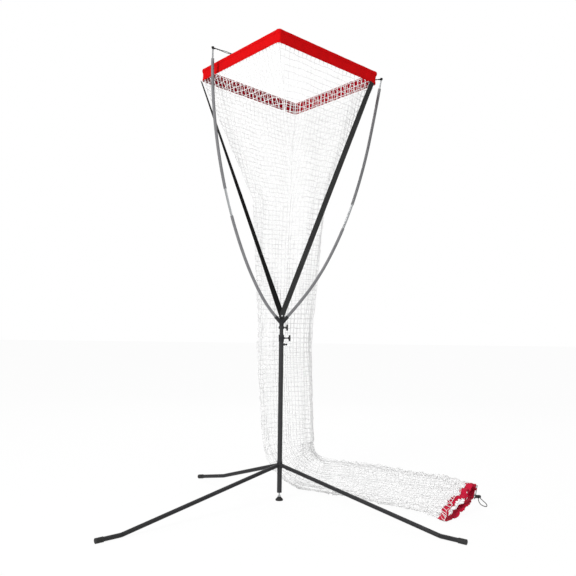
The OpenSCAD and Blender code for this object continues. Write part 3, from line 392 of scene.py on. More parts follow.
def hangingRow(z):
    v = netSet
    share = lookUp(z, [(v["throatZ"], 0), (bandFoot[2], 1)])
    halfW = lookUp(z, [(v["landingZ"], v["landingHalf"]), (v["forkZ"], v["sleeveW"] / 2),
                       (v["sleeveZ"], v["sleeveTopW"] / 2), (v["throatZ"], v["throatW"] / 2),
                       (bandFoot[2], midDiag)])
    halfD = lookUp(z, [(v["landingZ"], v["landingHalf"]), (v["forkZ"], v["sleeveW"] / 2 - 2),
                       (v["sleeveZ"], v["sleeveTopW"] / 2 - 30), (v["throatZ"], v["throatD"] / 2),
                       (bandFoot[2], midDiag)])
    power = lookUp(z, [(v["forkZ"], 2), (v["sleeveZ"], 1.9), (v["throatZ"], 1.6), (bandFoot[2], 1.0)])
    yaw = math.radians(hoopSet["yaw"]) * share
    slopeX, slopeY = (-math.tan(math.radians(hoopSet[k])) for k in ("roll", "pitch"))

    def leaned(x, y):
        a, b = x * math.cos(yaw) - y * math.sin(yaw), x * math.sin(yaw) + y * math.cos(yaw)
        return np.array((a, b, share * (a * slopeX + b * slopeY)))

    centre = netCentre(z)
    return ringLine(centre, leaned(halfW, 0), leaned(0, halfD), power), centre


def flatDir(a):
    return np.array((math.cos(math.radians(a)), math.sin(math.radians(a)), 0))


def landingRow(a):
    v = netSet
    share, r = a / 90, v["landingR"]
    turn, ahead = math.radians(a), flatDir(v["landingDir"])
    drop = np.array((0, 0, r * math.sin(turn)))
    centre = netCentre(v["landingZ"]) + r * (1 - math.cos(turn)) * ahead - drop
    half = v["landingHalf"]
    wide = flatDir(v["landingDir"] + 90) * (half + (v["floorHalfW"] - 24 - half) * share)
    tall = ahead * math.cos(turn) + np.array((0, 0, math.sin(turn)))
    tall = tall * (half + (v["floorHalfH"] - half) * share)
    return ringLine(centre, wide, tall, 2, lying=True), centre


# Along the floor: x, y, heading, half width, half height and roll
floorStations = np.array([
    (370, 300, -27, 245, 104, 0), (500, 226, -33, 255, 104, 0), (640, 126, -37, 263, 104, 0),
    (780, 12, -37, 255, 102, 0), (910, -82, -35, 245, 98, 2), (1030, -180, -36, 225, 88, 8),
    (1128, -292, -36, 206, 56, 18)], float)


def floorRow(s):
    x, y, heading, halfW, halfH, roll = s
    roll = math.radians(roll)
    centre = np.array((x, y, max(halfH * math.cos(roll) + halfW * math.sin(roll) * 0.42, 52.5)))
    side = flatDir(heading + 90)
    centre -= side * netSet["nearShift"]
    halfW += netSet["nearShift"] * 1.2
    wide = side * math.cos(roll) + np.array((0, 0, math.sin(roll)))
    tall = np.array((0, 0, math.cos(roll))) - side * math.sin(roll)
    return ringLine(centre, wide * halfW, tall * halfH, 2, lying=True), centre


def panelsOf(ring):
    # Each quarter of a ring, with the distance along it
    out = []
    for q in range(4):
        part = ring[60 * q:60 * q + 61]
        run = np.concatenate([[0], np.cumsum(np.linalg.norm(np.diff(part, axis=0), axis=1))])
        out.append((part, run))
    return out


def noise(a, b):
    # A smooth unevenness between -1 and 1
    waves = np.sin(1.7 * a + 2.3 * b) + np.sin(3.1 * a - 1.9 * b + 1.3) + np.sin(0.9 * a + 4.7 * b + 0.6)
    return waves / 3


def crushAt(i):
    # 0 where the net hangs, 1 where it lies crumpled
    return min(1, max(0, (i - netSet["crushFrom"]) / netSet["crushOver"]))


def netRows(v):
    rows = []
    for height, inset in v["bandRows"]:
        reach = halfDiag - inset * math.sqrt(2)
        ring = ringLine(np.zeros(3), (reach, 0, 0), (0, reach, 0), 1.0)
        limit = v["cornerReach"] - inset
        ring[:, :2] *= np.minimum(1, limit / np.linalg.norm(ring[:, :2], axis=1))[:, None]
        ring[:, 2] = height
        centre = hoopPoint((0, 0, height))
        rows.append(dict(ring=hoopPoint(ring), centre=centre, z=bandFoot[2] - height, kind="band"))
    for z in np.linspace(bandFoot[2] - 22, v["landingZ"] + 34, v["hangingRows"]):
        ring, centre = hangingRow(z)
        rows.append(dict(ring=ring, centre=centre, z=z, kind="hanging"))
    for a in np.linspace(0, v["lastLanding"], v["landingRows"]):
        ring, centre = landingRow(a)
        rows.append(dict(ring=ring, centre=centre, z=0, kind="landing"))
    run = np.concatenate([[0], np.cumsum(np.linalg.norm(np.diff(floorStations[:, :2], axis=0), axis=1))])
    for s in np.linspace(0, run[-1], v["floorRows"]):
        station = [np.interp(s, run, floorStations[:, k]) for k in range(6)]
        ring, centre = floorRow(station)
        rows.append(dict(ring=ring, centre=centre, z=0, kind="floor"))
    for i, row in enumerate(rows):
        row["i"] = i
        row["panels"] = panelsOf(row["ring"])
        around = sum(run[-1] for _, run in row["panels"])
        top = v["hoopColumns"] * v["mesh"]
        if row["kind"] == "band":
            row["width"] = top
        elif row["kind"] == "hanging":
            row["width"] = lookUp(row["z"], [(v["throatZ"], v["sleeveWidth"]), (bandFoot[2], top)])
        else:
            row["width"] = v["sleeveWidth"]
        gather = max(0, 4 * row["width"] / around - 1)
        deepest = v["foldDepth"] + (v["floorFold"] - v["foldDepth"]) * crushAt(i)
        if row["kind"] == "band":
            deepest = 0
        row["fold"] = min(deepest, math.sqrt(gather) * around / (math.pi * v["folds"]))
    return rows


def netPoints(row, q, share):
    # Places on panel q of a row, share of the way across it, pushed in by the folds
    v = netSet
    part, run = row["panels"][q]
    share = np.asarray(share, float)
    at = np.stack([np.interp(share * run[-1], run, part[:, a]) for a in range(3)], -1)
    turn = 2 * math.pi * (q + share) / 4
    i = row["i"]
    crush = crushAt(i)
    free = row["kind"] != "band"
    depth = row["fold"] * (1 + np.cos(v["folds"] * turn + 1.2 * math.sin(i * 0.09)))
    depth = depth * (0.7 + 0.3 * noise(turn * 2, i * 0.06))
    depth += 3 * free * (1 + np.cos(v["smallFolds"] * turn + 0.13 * i + 1))
    depth += v["crumple"] * crush * (noise(turn * 5, i * 0.5) - 0.2)
    inward = unit(row["centre"] - at)
    room = np.linalg.norm(row["centre"] - at, axis=-1)
    depth = np.minimum(depth, 0.7 * room)
    shake = v["wobble"] * free
    at = at + inward * (depth + 2 + shake * (1 + noise(turn * 7, i * 1.3)) / 2)[..., None]
    at[..., 2] += shake * noise(turn * 11, i * 0.8)
    sideways = np.stack([noise(turn * 5 + 2, i * 1.1), noise(turn * 6 + 4, i * 0.9)], -1)
    at[..., :2] += (shake * (1 + 1.5 * crush) * sideways) * 0.8
    at[..., 2] = np.maximum(at[..., 2], v["knot"] / 2 + 0.4)
    return at


def columnShares(row):
    # Where the upright cords cross a panel; beyond its edge they run into the seam
    v = netSet
    offset = (np.arange(v["hoopColumns"]) - (v["hoopColumns"] - 1) / 2) * v["mesh"]
    edge = row["width"] / 2
    share = 0.5 + np.clip(offset, -edge, edge) / row["width"]
    return share, np.abs(offset) < edge - 4, np.abs(offset) < edge + v["mesh"] * 0.8


def addKnots(parts, ring, size):
    # An eight-sided knot at each crossing
    spikes = np.concatenate([np.eye(3), -np.eye(3)]) * size / 2
    shape = [(0, 1, 2), (1, 3, 2), (3, 4, 2), (4, 0, 2), (1, 0, 5), (3, 1, 5), (4, 3, 5), (0, 4, 5)]
    first = 6 * np.arange(len(ring))[:, None, None]
    parts.add(ring[:, None] + spikes, (np.array(shape)[None] + first).reshape(-1, 3))


def makeNet(rows, first, last, name):
    v = netSet
    parts = Parts()
    upright = {}
    for row in rows[first:last + 1]:
        share, inside, kept = columnShares(row)
        ring = []
        for q in range(4):
            places = netPoints(row, q, share)
            seam = netPoints(row, q, np.array([0.0]))
            for j in range(v["hoopColumns"]):
                if kept[j]:
                    upright.setdefault((q, j), []).append((places[j], places[j] - row["centre"]))
            upright.setdefault((q, "seam"), []).append((seam[0], seam[0] - row["centre"]))
            ring.append(np.vstack([seam, places[inside]]))
        ring = np.vstack(ring)
        if row["i"] > first or first == 0:   # the row that two pieces share belongs to the upper one
            cordTube(parts, ring, unit(ring - row["centre"]), v["cord"] / 2, 4, closed=True)
            addKnots(parts, ring, v["knot"])
    for key, line in upright.items():
        if len(line) < 2:
            continue
        places, outs = (np.array(x) for x in zip(*line))
        size = v["seamCord"] if key[1] == "seam" else v["cord"]
        cordTube(parts, places, unit(outs), size / 2, 4)
    net = parts.build(name)
    return net


rows = netRows(netSet)


def firstRowBelow(z):
    return min(r["i"] for r in rows if r["kind"] == "hanging" and r["z"] < z)


turnTop, turnFoot = firstRowBelow(netSet["sleeveZ"]), firstRowBelow(netSet["turnFootZ"])
liftFoot = firstRowBelow(netSet["liftFootZ"])

netFunnel = makeNet(rows, 0, turnTop, "netFunnel")
netTwist = makeNet(rows, turnTop, turnFoot, "netSleeveUpper")
netLift = makeNet(rows, turnFoot, liftFoot, "netSleeveLower")
netTail = makeNet(rows, liftFoot, len(rows) - 1, "netTail")
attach(netFunnel, "head")
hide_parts("net_funnel")
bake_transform(netTwist)
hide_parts("net_sleeve")
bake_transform(netLift)
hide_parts("net_drop")
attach(netTail, "base")
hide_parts("net_tail")


print("gathered hem")

hemSet = {
    "columns": 520, "crumple": 9,
    "gather": 4.0, "gathers": 61,   # depth and number of the drawn-up pleats
    "tucked": 30, "tuckedAt": 245,  # how far the net covers the hem on its near side
    "flatWidth": 0.055,             # metres
}


def makeHem(rows, v):
    row = rows[-1]
    ahead = flatDir(floorStations[-1][2])
    # Distance past the net's last row, and distance inwards
    section = [(-3, 0), (8, -0.4), (18, 0), (28, 0.3), (38, 0), (43, -1.5), (44, -5), (42, -9),
               (36, -10.5), (28, -9), (24, -5), (14, -3.4), (4, -3), (-3, -3)]
    share = np.linspace(0, 1, v["columns"] // 4, endpoint=False)
    turn = 2 * math.pi * np.concatenate([(q + share) / 4 for q in range(4)])
    base = np.vstack([netPoints(row, q, share) for q in range(4)])
    out = unit(base - row["centre"])
    tuck = np.clip(np.cos(turn - math.radians(v["tuckedAt"])) * 1.3, 0, 1)
    rings = []
    for d, thick in section:
        wave = v["crumple"] * noise(turn * 6 + 0.05 * d, 2 + 0.06 * d)
        wave = wave + v["gather"] * np.sin(v["gathers"] * turn + 0.12 * d)
        slip = d + 9 * noise(turn * 4, 5) - 4 + 3 * np.sin(37 * turn) - v["tucked"] * tuck
        ring = base + ahead * slip[:, None] + out * (thick + wave - 6)[:, None]
        ring[:, 2] = np.maximum(ring[:, 2], 0.6 if thick > -2 else 1.4)
        rings.append(ring)
    rings = np.stack(rings, 1)
    parts = Parts()
    parts.add(rings, wallFaces(len(turn), len(section), closed=True))
    hem = faceOut(parts.build("endHem"))
    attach(hem, "base")
    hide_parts("end_band")
    return hem


endHem = makeHem(rows, hemSet)


print("straps")

strapSet = {
    "width": 38, "thick": 2.4, "knee": 26, "end": 16, "boltRise": 52, "forkZ": 1174, "yaw": 17,
    "steps": 60, "stitch": 3.4, "thread": 0.35,
}
leftStrap = {
    "name": "leftWebbing", "node": "left_strap", "out": 3.55,
    "top": hoopPoint(np.array((-halfDiag * 0.995, 0, -88.3))),
    "turn": [(0, 80), (0.33, 63), (0.5, 53), (0.8, 44), (0.95, 17), (2, 17)],
}
cornerLeft, cornerNear = np.array((-halfDiag, 0, 0)), np.array((0, -halfDiag, 0))
cornerRight, cornerFar = -cornerLeft, -cornerNear
rightTop = cornerRight + (cornerNear - cornerRight) * 58 / hoopSet["side"]   # 58 mm along the near side
rightStrap = {
    "name": "rightWebbing", "node": "right_strap", "out": 6.35,
    "top": hoopPoint(rightTop * 1.012 + np.array((0, 0, -87.3))),
    "turn": [(0, 39), (0.2, 20), (0.8, 17), (0.95, 17), (2, 17)],
}


def makeStrap(v, piece):
    yaw = math.radians(v["yaw"])
    normal = np.array((math.sin(yaw), -math.cos(yaw), 0))
    bolt = normal * piece["out"] + np.array((0, 0, v["forkZ"] + v["boltRise"]))
    span = piece["top"] - bolt
    flat = unit(span - normal * (span @ normal))
    knee = bolt + flat * v["knee"]
    n = v["steps"]
    line = [piece["top"] + (knee - piece["top"]) * i / n for i in range(n + 1)]
    line += [knee + (bolt - knee) * k for k in (0.5, 1)]
    line += [bolt - flat * v["end"] * k for k in (0.5, 1)]
    line = np.array(line)
    ahead = headings(line)
    turn = np.radians([lookUp(i / n, piece["turn"]) for i in range(len(line))])
    level = np.stack([np.cos(turn), np.sin(turn), 0 * turn], -1)
    wide = unit(level - ahead * (level * ahead).sum(1, keepdims=True))
    thick = np.cross(wide, ahead)
    w, t = v["width"] / 2, v["thick"] / 2
    # Rounded selvedges with a slightly thicker edge cord
    section = [(w, 0), (w - 0.6, t), (w - 2.4, t), (w - 3.4, t * 0.75), (w * 0.5, t * 0.85), (0, t * 0.8),
               (-w * 0.5, t * 0.85), (3.4 - w, t * 0.75), (2.4 - w, t), (0.6 - w, t)]
    section += [(-w, 0)] + [(-a, -b) for a, b in section[1:]]
    rings = np.stack([line + wide * a + thick * b for a, b in section], 1)
    parts = Parts()
    parts.add(rings, wallFaces(len(line), len(section))[:, ::-1])
    m = len(section)
    parts.faces.append(list(range(m)))
    parts.faces.append(list(range(parts.count - m, parts.count))[::-1])
    strap = faceOut(parts.build(piece["name"]))
    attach(strap, "head")
    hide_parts(piece["node"])
    # Box stitch near each end
    threads = Parts()
    for spot, size in ((1.2, 16), (n - 1.6, 12)):
        c = np.array([np.interp(spot, range(len(line)), line[:, k]) for k in range(3)])
        i = int(round(spot))
        a, b, o = wide[i], ahead[i], thick[i]
        for side in (-1, 1):
            box = ((-1, -1), (1, -1), (1, 1), (-1, 1), (-1, -1), (1, 1))
            square = [c + a * x * (w - 6) + b * y * size for x, y in box]
            for p, r in zip(square[:-1], square[1:]):
                count = max(2, int(np.linalg.norm(r - p) / v["stitch"] / 1.5))
                for k in range(count):
                    ends = np.array([p + (r - p) * (k + x) / count for x in (0.1, 0.75)])
                    cordTube(threads, ends + o * side * t * 1.02, o, v["thread"], 4, capped=True)
    stitched = threads.build(piece["name"] + "Stitches")
    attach(stitched, "head")
    return strap, stitched


leftWebbing, leftStitches = makeStrap(strapSet, leftStrap)
rightWebbing, rightStitches = makeStrap(strapSet, rightStrap)


print("ties")

tieSet = {
    "wrap": 2.2, "wrapR": 9.2, "wrapPitch": 3.6,   # the turns of cord round an arm's cap
    "strand": 2.1, "doubled": 60, "spread": 7, "knot": 6.5,
    "endReach": 0.985, "endRise": 3.8,             # where a tie meets the band's top edge
}


def makeTie(v, name, node, capNode, end):
    low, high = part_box(capNode)
    cap = np.array((low + high) / 2) / mm
    away = unit(end - cap)
    side = unit(np.cross(away, (0, 0, 1)))
    up = np.cross(side, away)
    parts = Parts()
    for k in (-1, 0, 1):   # turns of cord round the arm's cap
        a = np.linspace(0, 2 * math.pi, 25)[:-1]
        loop = cap + np.outer(np.cos(a), away) * v["wrapR"] + np.outer(np.sin(a), side) * v["wrapR"]
        loop[:, 2] += k * v["wrapPitch"] - 1 + 0.6 * np.sin(a)
        cordTube(parts, loop, (0, 0, 1), v["wrap"], 8, closed=True)
    start = cap + away * 10
    total = np.linalg.norm(end - start)
    run = np.linspace(0, 1, 90) * total
    past = np.clip((run - v["doubled"]) / max(total - v["doubled"], 1), 0, 1)   # past the twisted start
    close = v["strand"] * 1.05
    gap = np.where(run < v["doubled"], close, close + v["spread"] * np.sin(math.pi * past) * 0.5)
    for phase in (0, math.pi):
        wind = np.where(run < v["doubled"], run / 6, v["doubled"] / 6) + phase
        apart = np.outer(gap * np.cos(wind), side), np.outer(gap * np.sin(wind), up)
        line = start + np.outer(run, away) + apart[0] + apart[1]
        cordTube(parts, line, up, v["strand"], 8, capped=True)
    blob(parts, start + away * 5, 4.6, [away, side, up])
    blob(parts, start + away * v["doubled"], 4.2, [away, side, up])
    blob(parts, end - away * 2, v["knot"] * 0.8, [away, side, up])
    tie = parts.build(name)
    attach(tie, "head")
    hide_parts(node)
    return tie


def tieEnd(v, corner, towards, share):
    # A place on the band's top edge, so far along one side
    place = (corner + (towards - corner) * share) * v["endReach"]
    return hoopPoint(place + np.array((0, 0, v["endRise"])))


leftEnd = tieEnd(tieSet, cornerLeft, cornerNear, 0.4)
rightEnd = tieEnd(tieSet, cornerRight, cornerFar, 0.3)
leftTie = makeTie(tieSet, "leftTieCord", "left_tie", "left_tip_cap", leftEnd)
rightTie = makeTie(tieSet, "rightTieCord", "right_tie", "right_tip_cap", rightEnd)


print("materials")


def newGroup(name, inputs, outputs):
    group = bpy.data.node_groups.new(name, "ShaderNodeTree")
    for label, kind, value in inputs:
        socket = group.interface.new_socket(name=label, in_out="INPUT", socket_type=kind)
        if value is not None:
            socket.default_value = value
    for label, kind in outputs:
        group.interface.new_socket(name=label, in_out="OUTPUT", socket_type=kind)
    return group, group.nodes.new("NodeGroupInput"), group.nodes.new("NodeGroupOutput")


def node(tree, kind, **settings):
    made = tree.nodes.new(kind)
    for key, value in settings.items():
        if key.startswith("in_"):
            made.inputs[key[3:]].default_value = value
        else:
            setattr(made, key, value)
    return made


def maths(tree, how, a, b=None):
    made = node(tree, "ShaderNodeMath", operation=how)
    for k, value in enumerate((a, b)):
        if value is None:
            continue
        if isinstance(value, (int, float)):
            made.inputs[k].default_value = value
        else:
            tree.links.new(value, made.inputs[k])
    return made.outputs[0]


def makeGrain():
    # Fine unevenness of paint, rubber or moulded plastic
    group, start, end = newGroup(
        "fineGrain", [("Scale", "NodeSocketFloat", 400.0), ("Depth", "NodeSocketFloat", 1.0)],
        [("Height", "NodeSocketFloat"), ("Mottle", "NodeSocketFloat")])
    place = node(group, "ShaderNodeTexCoord")
    fine = node(group, "ShaderNodeTexNoise", in_Detail=3.0)
    broad = node(group, "ShaderNodeTexNoise", in_Scale=9.0, in_Detail=4.0)
    group.links.new(place.outputs["Object"], fine.inputs["Vector"])
    group.links.new(place.outputs["Object"], broad.inputs["Vector"])
    group.links.new(start.outputs["Scale"], fine.inputs["Scale"])
    group.links.new(maths(group, "MULTIPLY", fine.outputs[0], start.outputs["Depth"]), end.inputs["Height"])
    group.links.new(broad.outputs[0], end.inputs["Mottle"])
    return group


def makeWear():
    # Mask of rubbed edges and small scuffs
    group, start, end = newGroup(
        "edgeWear", [("Amount", "NodeSocketFloat", 0.5)], [("Mask", "NodeSocketFloat")])
    shape = node(group, "ShaderNodeNewGeometry")
    place = node(group, "ShaderNodeTexCoord")
    speck = node(group, "ShaderNodeTexNoise", in_Scale=60.0, in_Detail=5.0, in_Roughness=0.7)
    group.links.new(place.outputs["Object"], speck.inputs["Vector"])
    edge = node(group, "ShaderNodeMapRange")
    edge.inputs["From Min"].default_value, edge.inputs["From Max"].default_value = 0.52, 0.62
    group.links.new(shape.outputs["Pointiness"], edge.inputs["Value"])
    scuff = node(group, "ShaderNodeMapRange")
    scuff.inputs["From Min"].default_value, scuff.inputs["From Max"].default_value = 0.64, 0.72
    group.links.new(speck.outputs[0], scuff.inputs["Value"])
    both = maths(group, "MAXIMUM", maths(group, "MULTIPLY", edge.outputs[0], speck.outputs[0]),
                 maths(group, "MULTIPLY", scuff.outputs[0], 0.35))
    group.links.new(maths(group, "MULTIPLY", both, start.outputs["Amount"]), end.inputs["Mask"])
    return group


def makeWeave():
    # Plain weave of two sets of threads along X and Z of the given place
    group, start, end = newGroup(
        "clothWeave", [("Place", "NodeSocketVector", None), ("Threads", "NodeSocketFloat", 900.0),
                       ("Rib", "NodeSocketFloat", 0.5)],
        [("Height", "NodeSocketFloat"), ("Shade", "NodeSocketFloat")])
    split = node(group, "ShaderNodeSeparateXYZ")
    group.links.new(start.outputs["Place"], split.inputs[0])
    level = maths(group, "ADD", split.outputs["X"], split.outputs["Y"])
    tilt = maths(group, "MULTIPLY", start.outputs["Threads"], 6.2832)
    warp = maths(group, "SINE", maths(group, "MULTIPLY", level, tilt))
    weft = maths(group, "SINE", maths(group, "MULTIPLY", split.outputs["Z"], tilt))
    check = maths(group, "MULTIPLY", warp, weft)
    ribbed = maths(group, "MULTIPLY", weft, start.outputs["Rib"])
    height = maths(group, "ADD", maths(group, "MULTIPLY", maths(group, "ADD", check, ribbed), 0.35), 0.5)
    group.links.new(height, end.inputs["Height"])
    broad = node(group, "ShaderNodeTexNoise", in_Scale=14.0, in_Detail=3.0)
    group.links.new(start.outputs["Place"], broad.inputs["Vector"])
    shade = maths(group, "ADD", maths(group, "MULTIPLY", broad.outputs[0], 0.7),
                  maths(group, "MULTIPLY", height, 0.3))
    group.links.new(shade, end.inputs["Shade"])
    return group


def makeTwist():
    # Laid strands of a cord, slanting across its length
    group, start, end = newGroup(
        "twistedCord", [("Pitch", "NodeSocketFloat", 300.0)], [("Height", "NodeSocketFloat")])
    place = node(group, "ShaderNodeTexCoord")
    wave = node(group, "ShaderNodeTexWave", wave_type="BANDS", bands_direction="DIAGONAL",
                in_Distortion=1.5)
    group.links.new(place.outputs["Object"], wave.inputs["Vector"])
    group.links.new(start.outputs["Pitch"], wave.inputs["Scale"])
    group.links.new(wave.outputs[1], end.inputs["Height"])
    return group


fineGrain, edgeWear, clothWeave, twistedCord = makeGrain(), makeWear(), makeWeave(), makeTwist()


def startMaterial(name):
    material = bpy.data.materials.new(name)
    material.use_nodes = True
    tree = material.node_tree
    return material, tree, tree.nodes["Principled BSDF"]


def blendColours(tree, factor, a, b):
    mix = node(tree, "ShaderNodeMix", data_type="RGBA")
    mix.inputs[6].default_value, mix.inputs[7].default_value = (*a, 1), (*b, 1)
    tree.links.new(factor, mix.inputs[0])
    return mix.outputs[2]


def bumpFrom(tree, shader, height, distance):
    bump = node(tree, "ShaderNodeBump", in_Strength=1.0, in_Distance=distance)
    tree.links.new(height, bump.inputs["Height"])
    tree.links.new(bump.outputs[0], shader.inputs["Normal"])


def hardMaterial(name, v):
    # Painted metal, plastic, rubber or bare metal
    material, tree, shader = startMaterial(name)
    grain = node(tree, "ShaderNodeGroup", node_tree=fineGrain, in_Scale=v["grain"], in_Depth=1.0)
    wear = node(tree, "ShaderNodeGroup", node_tree=edgeWear, in_Amount=v["wear"])
    mottled = blendColours(tree, grain.outputs["Mottle"], v["dark"], v["light"])
    mix = node(tree, "ShaderNodeMix", data_type="RGBA")
    mix.inputs[7].default_value = (*v["worn"], 1)
    tree.links.new(wear.outputs["Mask"], mix.inputs[0])
    tree.links.new(mottled, mix.inputs[6])
    tree.links.new(mix.outputs[2], shader.inputs["Base Color"])
    rough = node(tree, "ShaderNodeMapRange")
    rough.inputs["To Min"].default_value, rough.inputs["To Max"].default_value = v["rough"]
    tree.links.new(grain.outputs["Mottle"], rough.inputs["Value"])
    tree.links.new(rough.outputs[0], shader.inputs["Roughness"])
    shader.inputs["Metallic"].default_value = v.get("metal", 0)
    shader.inputs["Specular IOR Level"].default_value = v.get("shine", 0.5)
    bumpFrom(tree, shader, grain.outputs["Height"], v["bump"])
    return material


def clothMaterial(name, v, turn):
    material, tree, shader = startMaterial(name)
    place = node(tree, "ShaderNodeTexCoord")
    mapping = node(tree, "ShaderNodeMapping", in_Rotation=turn)
    tree.links.new(place.outputs["Object"], mapping.inputs["Vector"])
    weave = node(tree, "ShaderNodeGroup", node_tree=clothWeave, in_Threads=v["threads"], in_Rib=v["rib"])
    tree.links.new(mapping.outputs[0], weave.inputs["Place"])
    colour = blendColours(tree, weave.outputs["Shade"], v["dark"], v["light"])
    tree.links.new(colour, shader.inputs["Base Color"])
    shader.inputs["Roughness"].default_value = v["rough"]
    shader.inputs["Specular IOR Level"].default_value = v["shine"]
    bumpFrom(tree, shader, weave.outputs["Height"], v["bump"])
    return material


def cordMaterial(name, v):
    material, tree, shader = startMaterial(name)
    lay = node(tree, "ShaderNodeGroup", node_tree=twistedCord, in_Pitch=v["pitch"])
    grain = node(tree, "ShaderNodeGroup", node_tree=fineGrain, in_Scale=700.0, in_Depth=1.0)
    shade = maths(tree, "ADD", maths(tree, "MULTIPLY", lay.outputs["Height"], 0.6),
                  maths(tree, "MULTIPLY", grain.outputs["Mottle"], 0.4))
    tree.links.new(blendColours(tree, shade, v["dark"], v["light"]), shader.inputs["Base Color"])
    shader.inputs["Roughness"].default_value = v["rough"]
    shader.inputs["Specular IOR Level"].default_value = v["shine"]
    bumpFrom(tree, shader, lay.outputs["Height"], v["bump"])
    return material


blackPaint = hardMaterial("satinBlackPaint", {
    "grain": 900.0, "wear": 0.25, "dark": (0.010, 0.010, 0.011), "light": (0.022, 0.022, 0.024),
    "worn": (0.12, 0.12, 0.12), "rough": (0.30, 0.42), "shine": 0.12, "bump": 0.00006})
blackRubber = hardMaterial("mouldedRubber", {
    "grain": 600.0, "wear": 0.2, "dark": (0.008, 0.008, 0.008), "light": (0.018, 0.018, 0.018),
    "worn": (0.05, 0.05, 0.05), "rough": (0.55, 0.75), "shine": 0.3, "bump": 0.0001})
blackPlastic = hardMaterial("mouldedBlackPlastic", {
    "grain": 1200.0, "wear": 0.2, "dark": (0.006, 0.006, 0.006), "light": (0.014, 0.014, 0.014),
    "worn": (0.06, 0.06, 0.06), "rough": (0.38, 0.5), "shine": 0.4, "bump": 0.00005})
brightSteel = hardMaterial("zincPlatedSteel", {
    "grain": 800.0, "wear": 0.3, "dark": (0.34, 0.35, 0.36), "light": (0.46, 0.47, 0.48),
    "worn": (0.5, 0.5, 0.5), "rough": (0.22, 0.36), "metal": 1.0, "bump": 0.00004})
fibreRod = hardMaterial("fibreRod", {
    "grain": 500.0, "wear": 0.1, "dark": (0.5, 0.5, 0.45), "light": (0.65, 0.65, 0.6),
    "worn": (0.7, 0.7, 0.7), "rough": (0.35, 0.5), "bump": 0.00005})
carbonTube = clothMaterial("carbonTwill", {
    "threads": 260.0, "rib": 0.2, "dark": (0.07, 0.07, 0.074), "light": (0.17, 0.17, 0.178),
    "rough": 0.34, "shine": 0.6, "bump": 0.00006}, (0, 0.7854, 0.3))
redCloth = clothMaterial("redBandCloth", {
    "threads": 520.0, "rib": 0.3, "dark": (0.38, 0.0006, 0.0015), "light": (0.52, 0.001, 0.002),
    "rough": 0.8, "shine": 0.06, "bump": 0.00012}, (0, 0, math.radians(39.3)))
# The band's inside in a darker red is painted shade for the shadow inside the hoop, not a different cloth
redInsideShade = clothMaterial("redBandPaintedShade", {
    "threads": 520.0, "rib": 0.3, "dark": (0.20, 0.0008, 0.006), "light": (0.32, 0.001, 0.010),
    "rough": 0.85, "shine": 0.05, "bump": 0.00012}, (0, 0, math.radians(39.3)))
hemCloth = clothMaterial("redHemCloth", {
    "threads": 520.0, "rib": 0.3, "dark": (0.30, 0.001, 0.014), "light": (0.56, 0.003, 0.04),
    "rough": 0.75, "shine": 0.2, "bump": 0.00012}, (0, 0, math.radians(36)))
# Both straps are one black webbing: the left copy is darker as painted shade, the right copy lighter as
# painted light
leftWebShaded = clothMaterial("leftWebbingShadedCloth", {
    "threads": 300.0, "rib": 0.9, "dark": (0.003, 0.003, 0.003), "light": (0.008, 0.008, 0.008),
    "rough": 0.85, "shine": 0.1, "bump": 0.0003}, (0, math.radians(20), 0))
rightWebLit = clothMaterial("rightWebbingLitCloth", {
    "threads": 300.0, "rib": 0.9, "dark": (0.014, 0.014, 0.014), "light": (0.032, 0.032, 0.032),
    "rough": 0.85, "shine": 0.15, "bump": 0.0003}, (0, math.radians(-20), 0))
whiteCord = cordMaterial("whiteNetCord", {
    "pitch": 130.0, "dark": (0.70, 0.70, 0.70), "light": (0.85, 0.85, 0.85), "rough": 0.8,
    "shine": 0.2, "bump": 0.0002})
blackCord = cordMaterial("blackCord", {
    "pitch": 160.0, "dark": (0.006, 0.006, 0.006), "light": (0.016, 0.016, 0.016), "rough": 0.75,
    "shine": 0.2, "bump": 0.0003})

finishes = {
    "black_steel": blackPaint, "black_rubber": blackRubber, "black_plastic": blackPlastic,
    "bright_steel": brightSteel, "grey_tube": carbonTube, "glass_fibre": fibreRod, "red_fabric": redCloth,
    "black_webbing": rightWebLit, "black_cord": blackCord, "white_net": whiteCord,
}


def dress(piece, *materials):
    for k, material in enumerate(materials):
        if k < len(piece.data.materials):
            piece.data.materials[k] = material
        else:
            piece.data.materials.append(material)


for entry in frame["record"]["subparts"]:
    piece = nodes[entry["node"]]
    if len(piece.material_slots) == 0:
        piece.data.materials.append(None)
    for slot in piece.material_slots:
        slot.material = finishes[entry["material_slot"]]
dress(targetBand, redCloth, redInsideShade)
for piece, material in (
        (drawCord, blackCord), (bandStitching, redCloth), (netFunnel, whiteCord),
        (netTwist, whiteCord), (netLift, whiteCord), (netTail, whiteCord), (endHem, hemCloth),
        (leftWebbing, leftWebShaded), (rightWebbing, rightWebLit), (leftStitches, blackCord),
        (rightStitches, blackCord), (leftTie, blackCord), (rightTie, blackCord)):
    dress(piece, material)


print("floor and light")

lightSet = {
    "world": 0.55,
    "keyPlace": (-5.2, -7.6, 5.6), "keyPower": 980, "keySize": 3.0,
    "fillPlace": (3.2, -3.6, 2.6), "fillPower": 40, "fillSize": 3.0,
    "backPlace": (0.5, 4.5, 4.0), "backPower": 90, "backSize": 3.0,
    "floorWhite": 0.95,   # share of the floor that is plain white to the camera
}


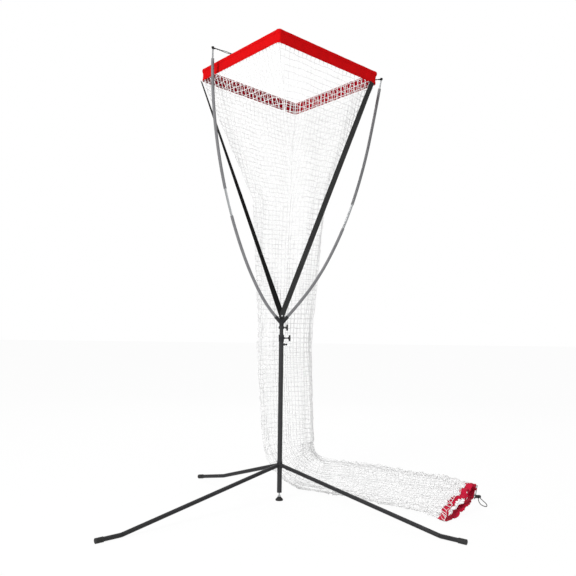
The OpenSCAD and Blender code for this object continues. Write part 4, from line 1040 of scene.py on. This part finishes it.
def addLamp(name, place, power, size, aim=(0, 0, 1.5)):
    data = bpy.data.lights.new(name, "AREA")
    data.energy, data.size = power, size
    lamp = link(bpy.data.objects.new(name, data))
    lamp.location = place
    lamp.rotation_euler = (Vector(aim) - Vector(place)).to_track_quat("-Z", "Y").to_euler()


def makeFloor(v):
    size = 40
    parts = Parts()
    parts.add(np.array([(-1, -1, 0), (1, -1, 0), (1, 1, 0), (-1, 1, 0)]) * size / mm, [(0, 1, 2, 3)])
    floor = parts.build("floor", smooth=False)
    material, tree, shader = startMaterial("paleFloor")
    shader.inputs["Base Color"].default_value = (0.85, 0.85, 0.85, 1)
    shader.inputs["Roughness"].default_value = 0.9
    shader.inputs["Specular IOR Level"].default_value = 0.0
    glow = node(tree, "ShaderNodeEmission", in_Color=(1, 1, 1, 1), in_Strength=1.0)
    path = node(tree, "ShaderNodeLightPath")
    seen = maths(tree, "MAXIMUM", path.outputs["Is Camera Ray"],
                 maths(tree, "MAXIMUM", path.outputs["Is Glossy Ray"], path.outputs["Is Transmission Ray"]))
    mix = node(tree, "ShaderNodeMixShader")
    tree.links.new(maths(tree, "MULTIPLY", seen, v["floorWhite"]), mix.inputs[0])
    tree.links.new(shader.outputs[0], mix.inputs[1])
    tree.links.new(glow.outputs[0], mix.inputs[2])
    tree.links.new(mix.outputs[0], tree.nodes["Material Output"].inputs["Surface"])
    dress(floor, material)


def makeWorld(v):
    world = bpy.data.worlds.new("studio")
    bpy.context.scene.world = world
    world.use_nodes = True
    tree = world.node_tree
    background = tree.nodes["Background"]
    background.inputs["Color"].default_value = (1, 1, 1, 1)
    path = node(tree, "ShaderNodeLightPath")
    seen = maths(tree, "MAXIMUM", path.outputs["Is Camera Ray"], path.outputs["Is Transmission Ray"])
    strength = maths(tree, "ADD", maths(tree, "MULTIPLY", seen, 1 - v["world"]), v["world"])
    tree.links.new(strength, background.inputs["Strength"])


makeFloor(lightSet)
makeWorld(lightSet)
for key in ("key", "fill", "back"):
    addLamp(key + "Lamp", lightSet[key + "Place"], lightSet[key + "Power"], lightSet[key + "Size"])
bpy.context.scene.view_settings.view_transform = "Standard"

print("finishing")
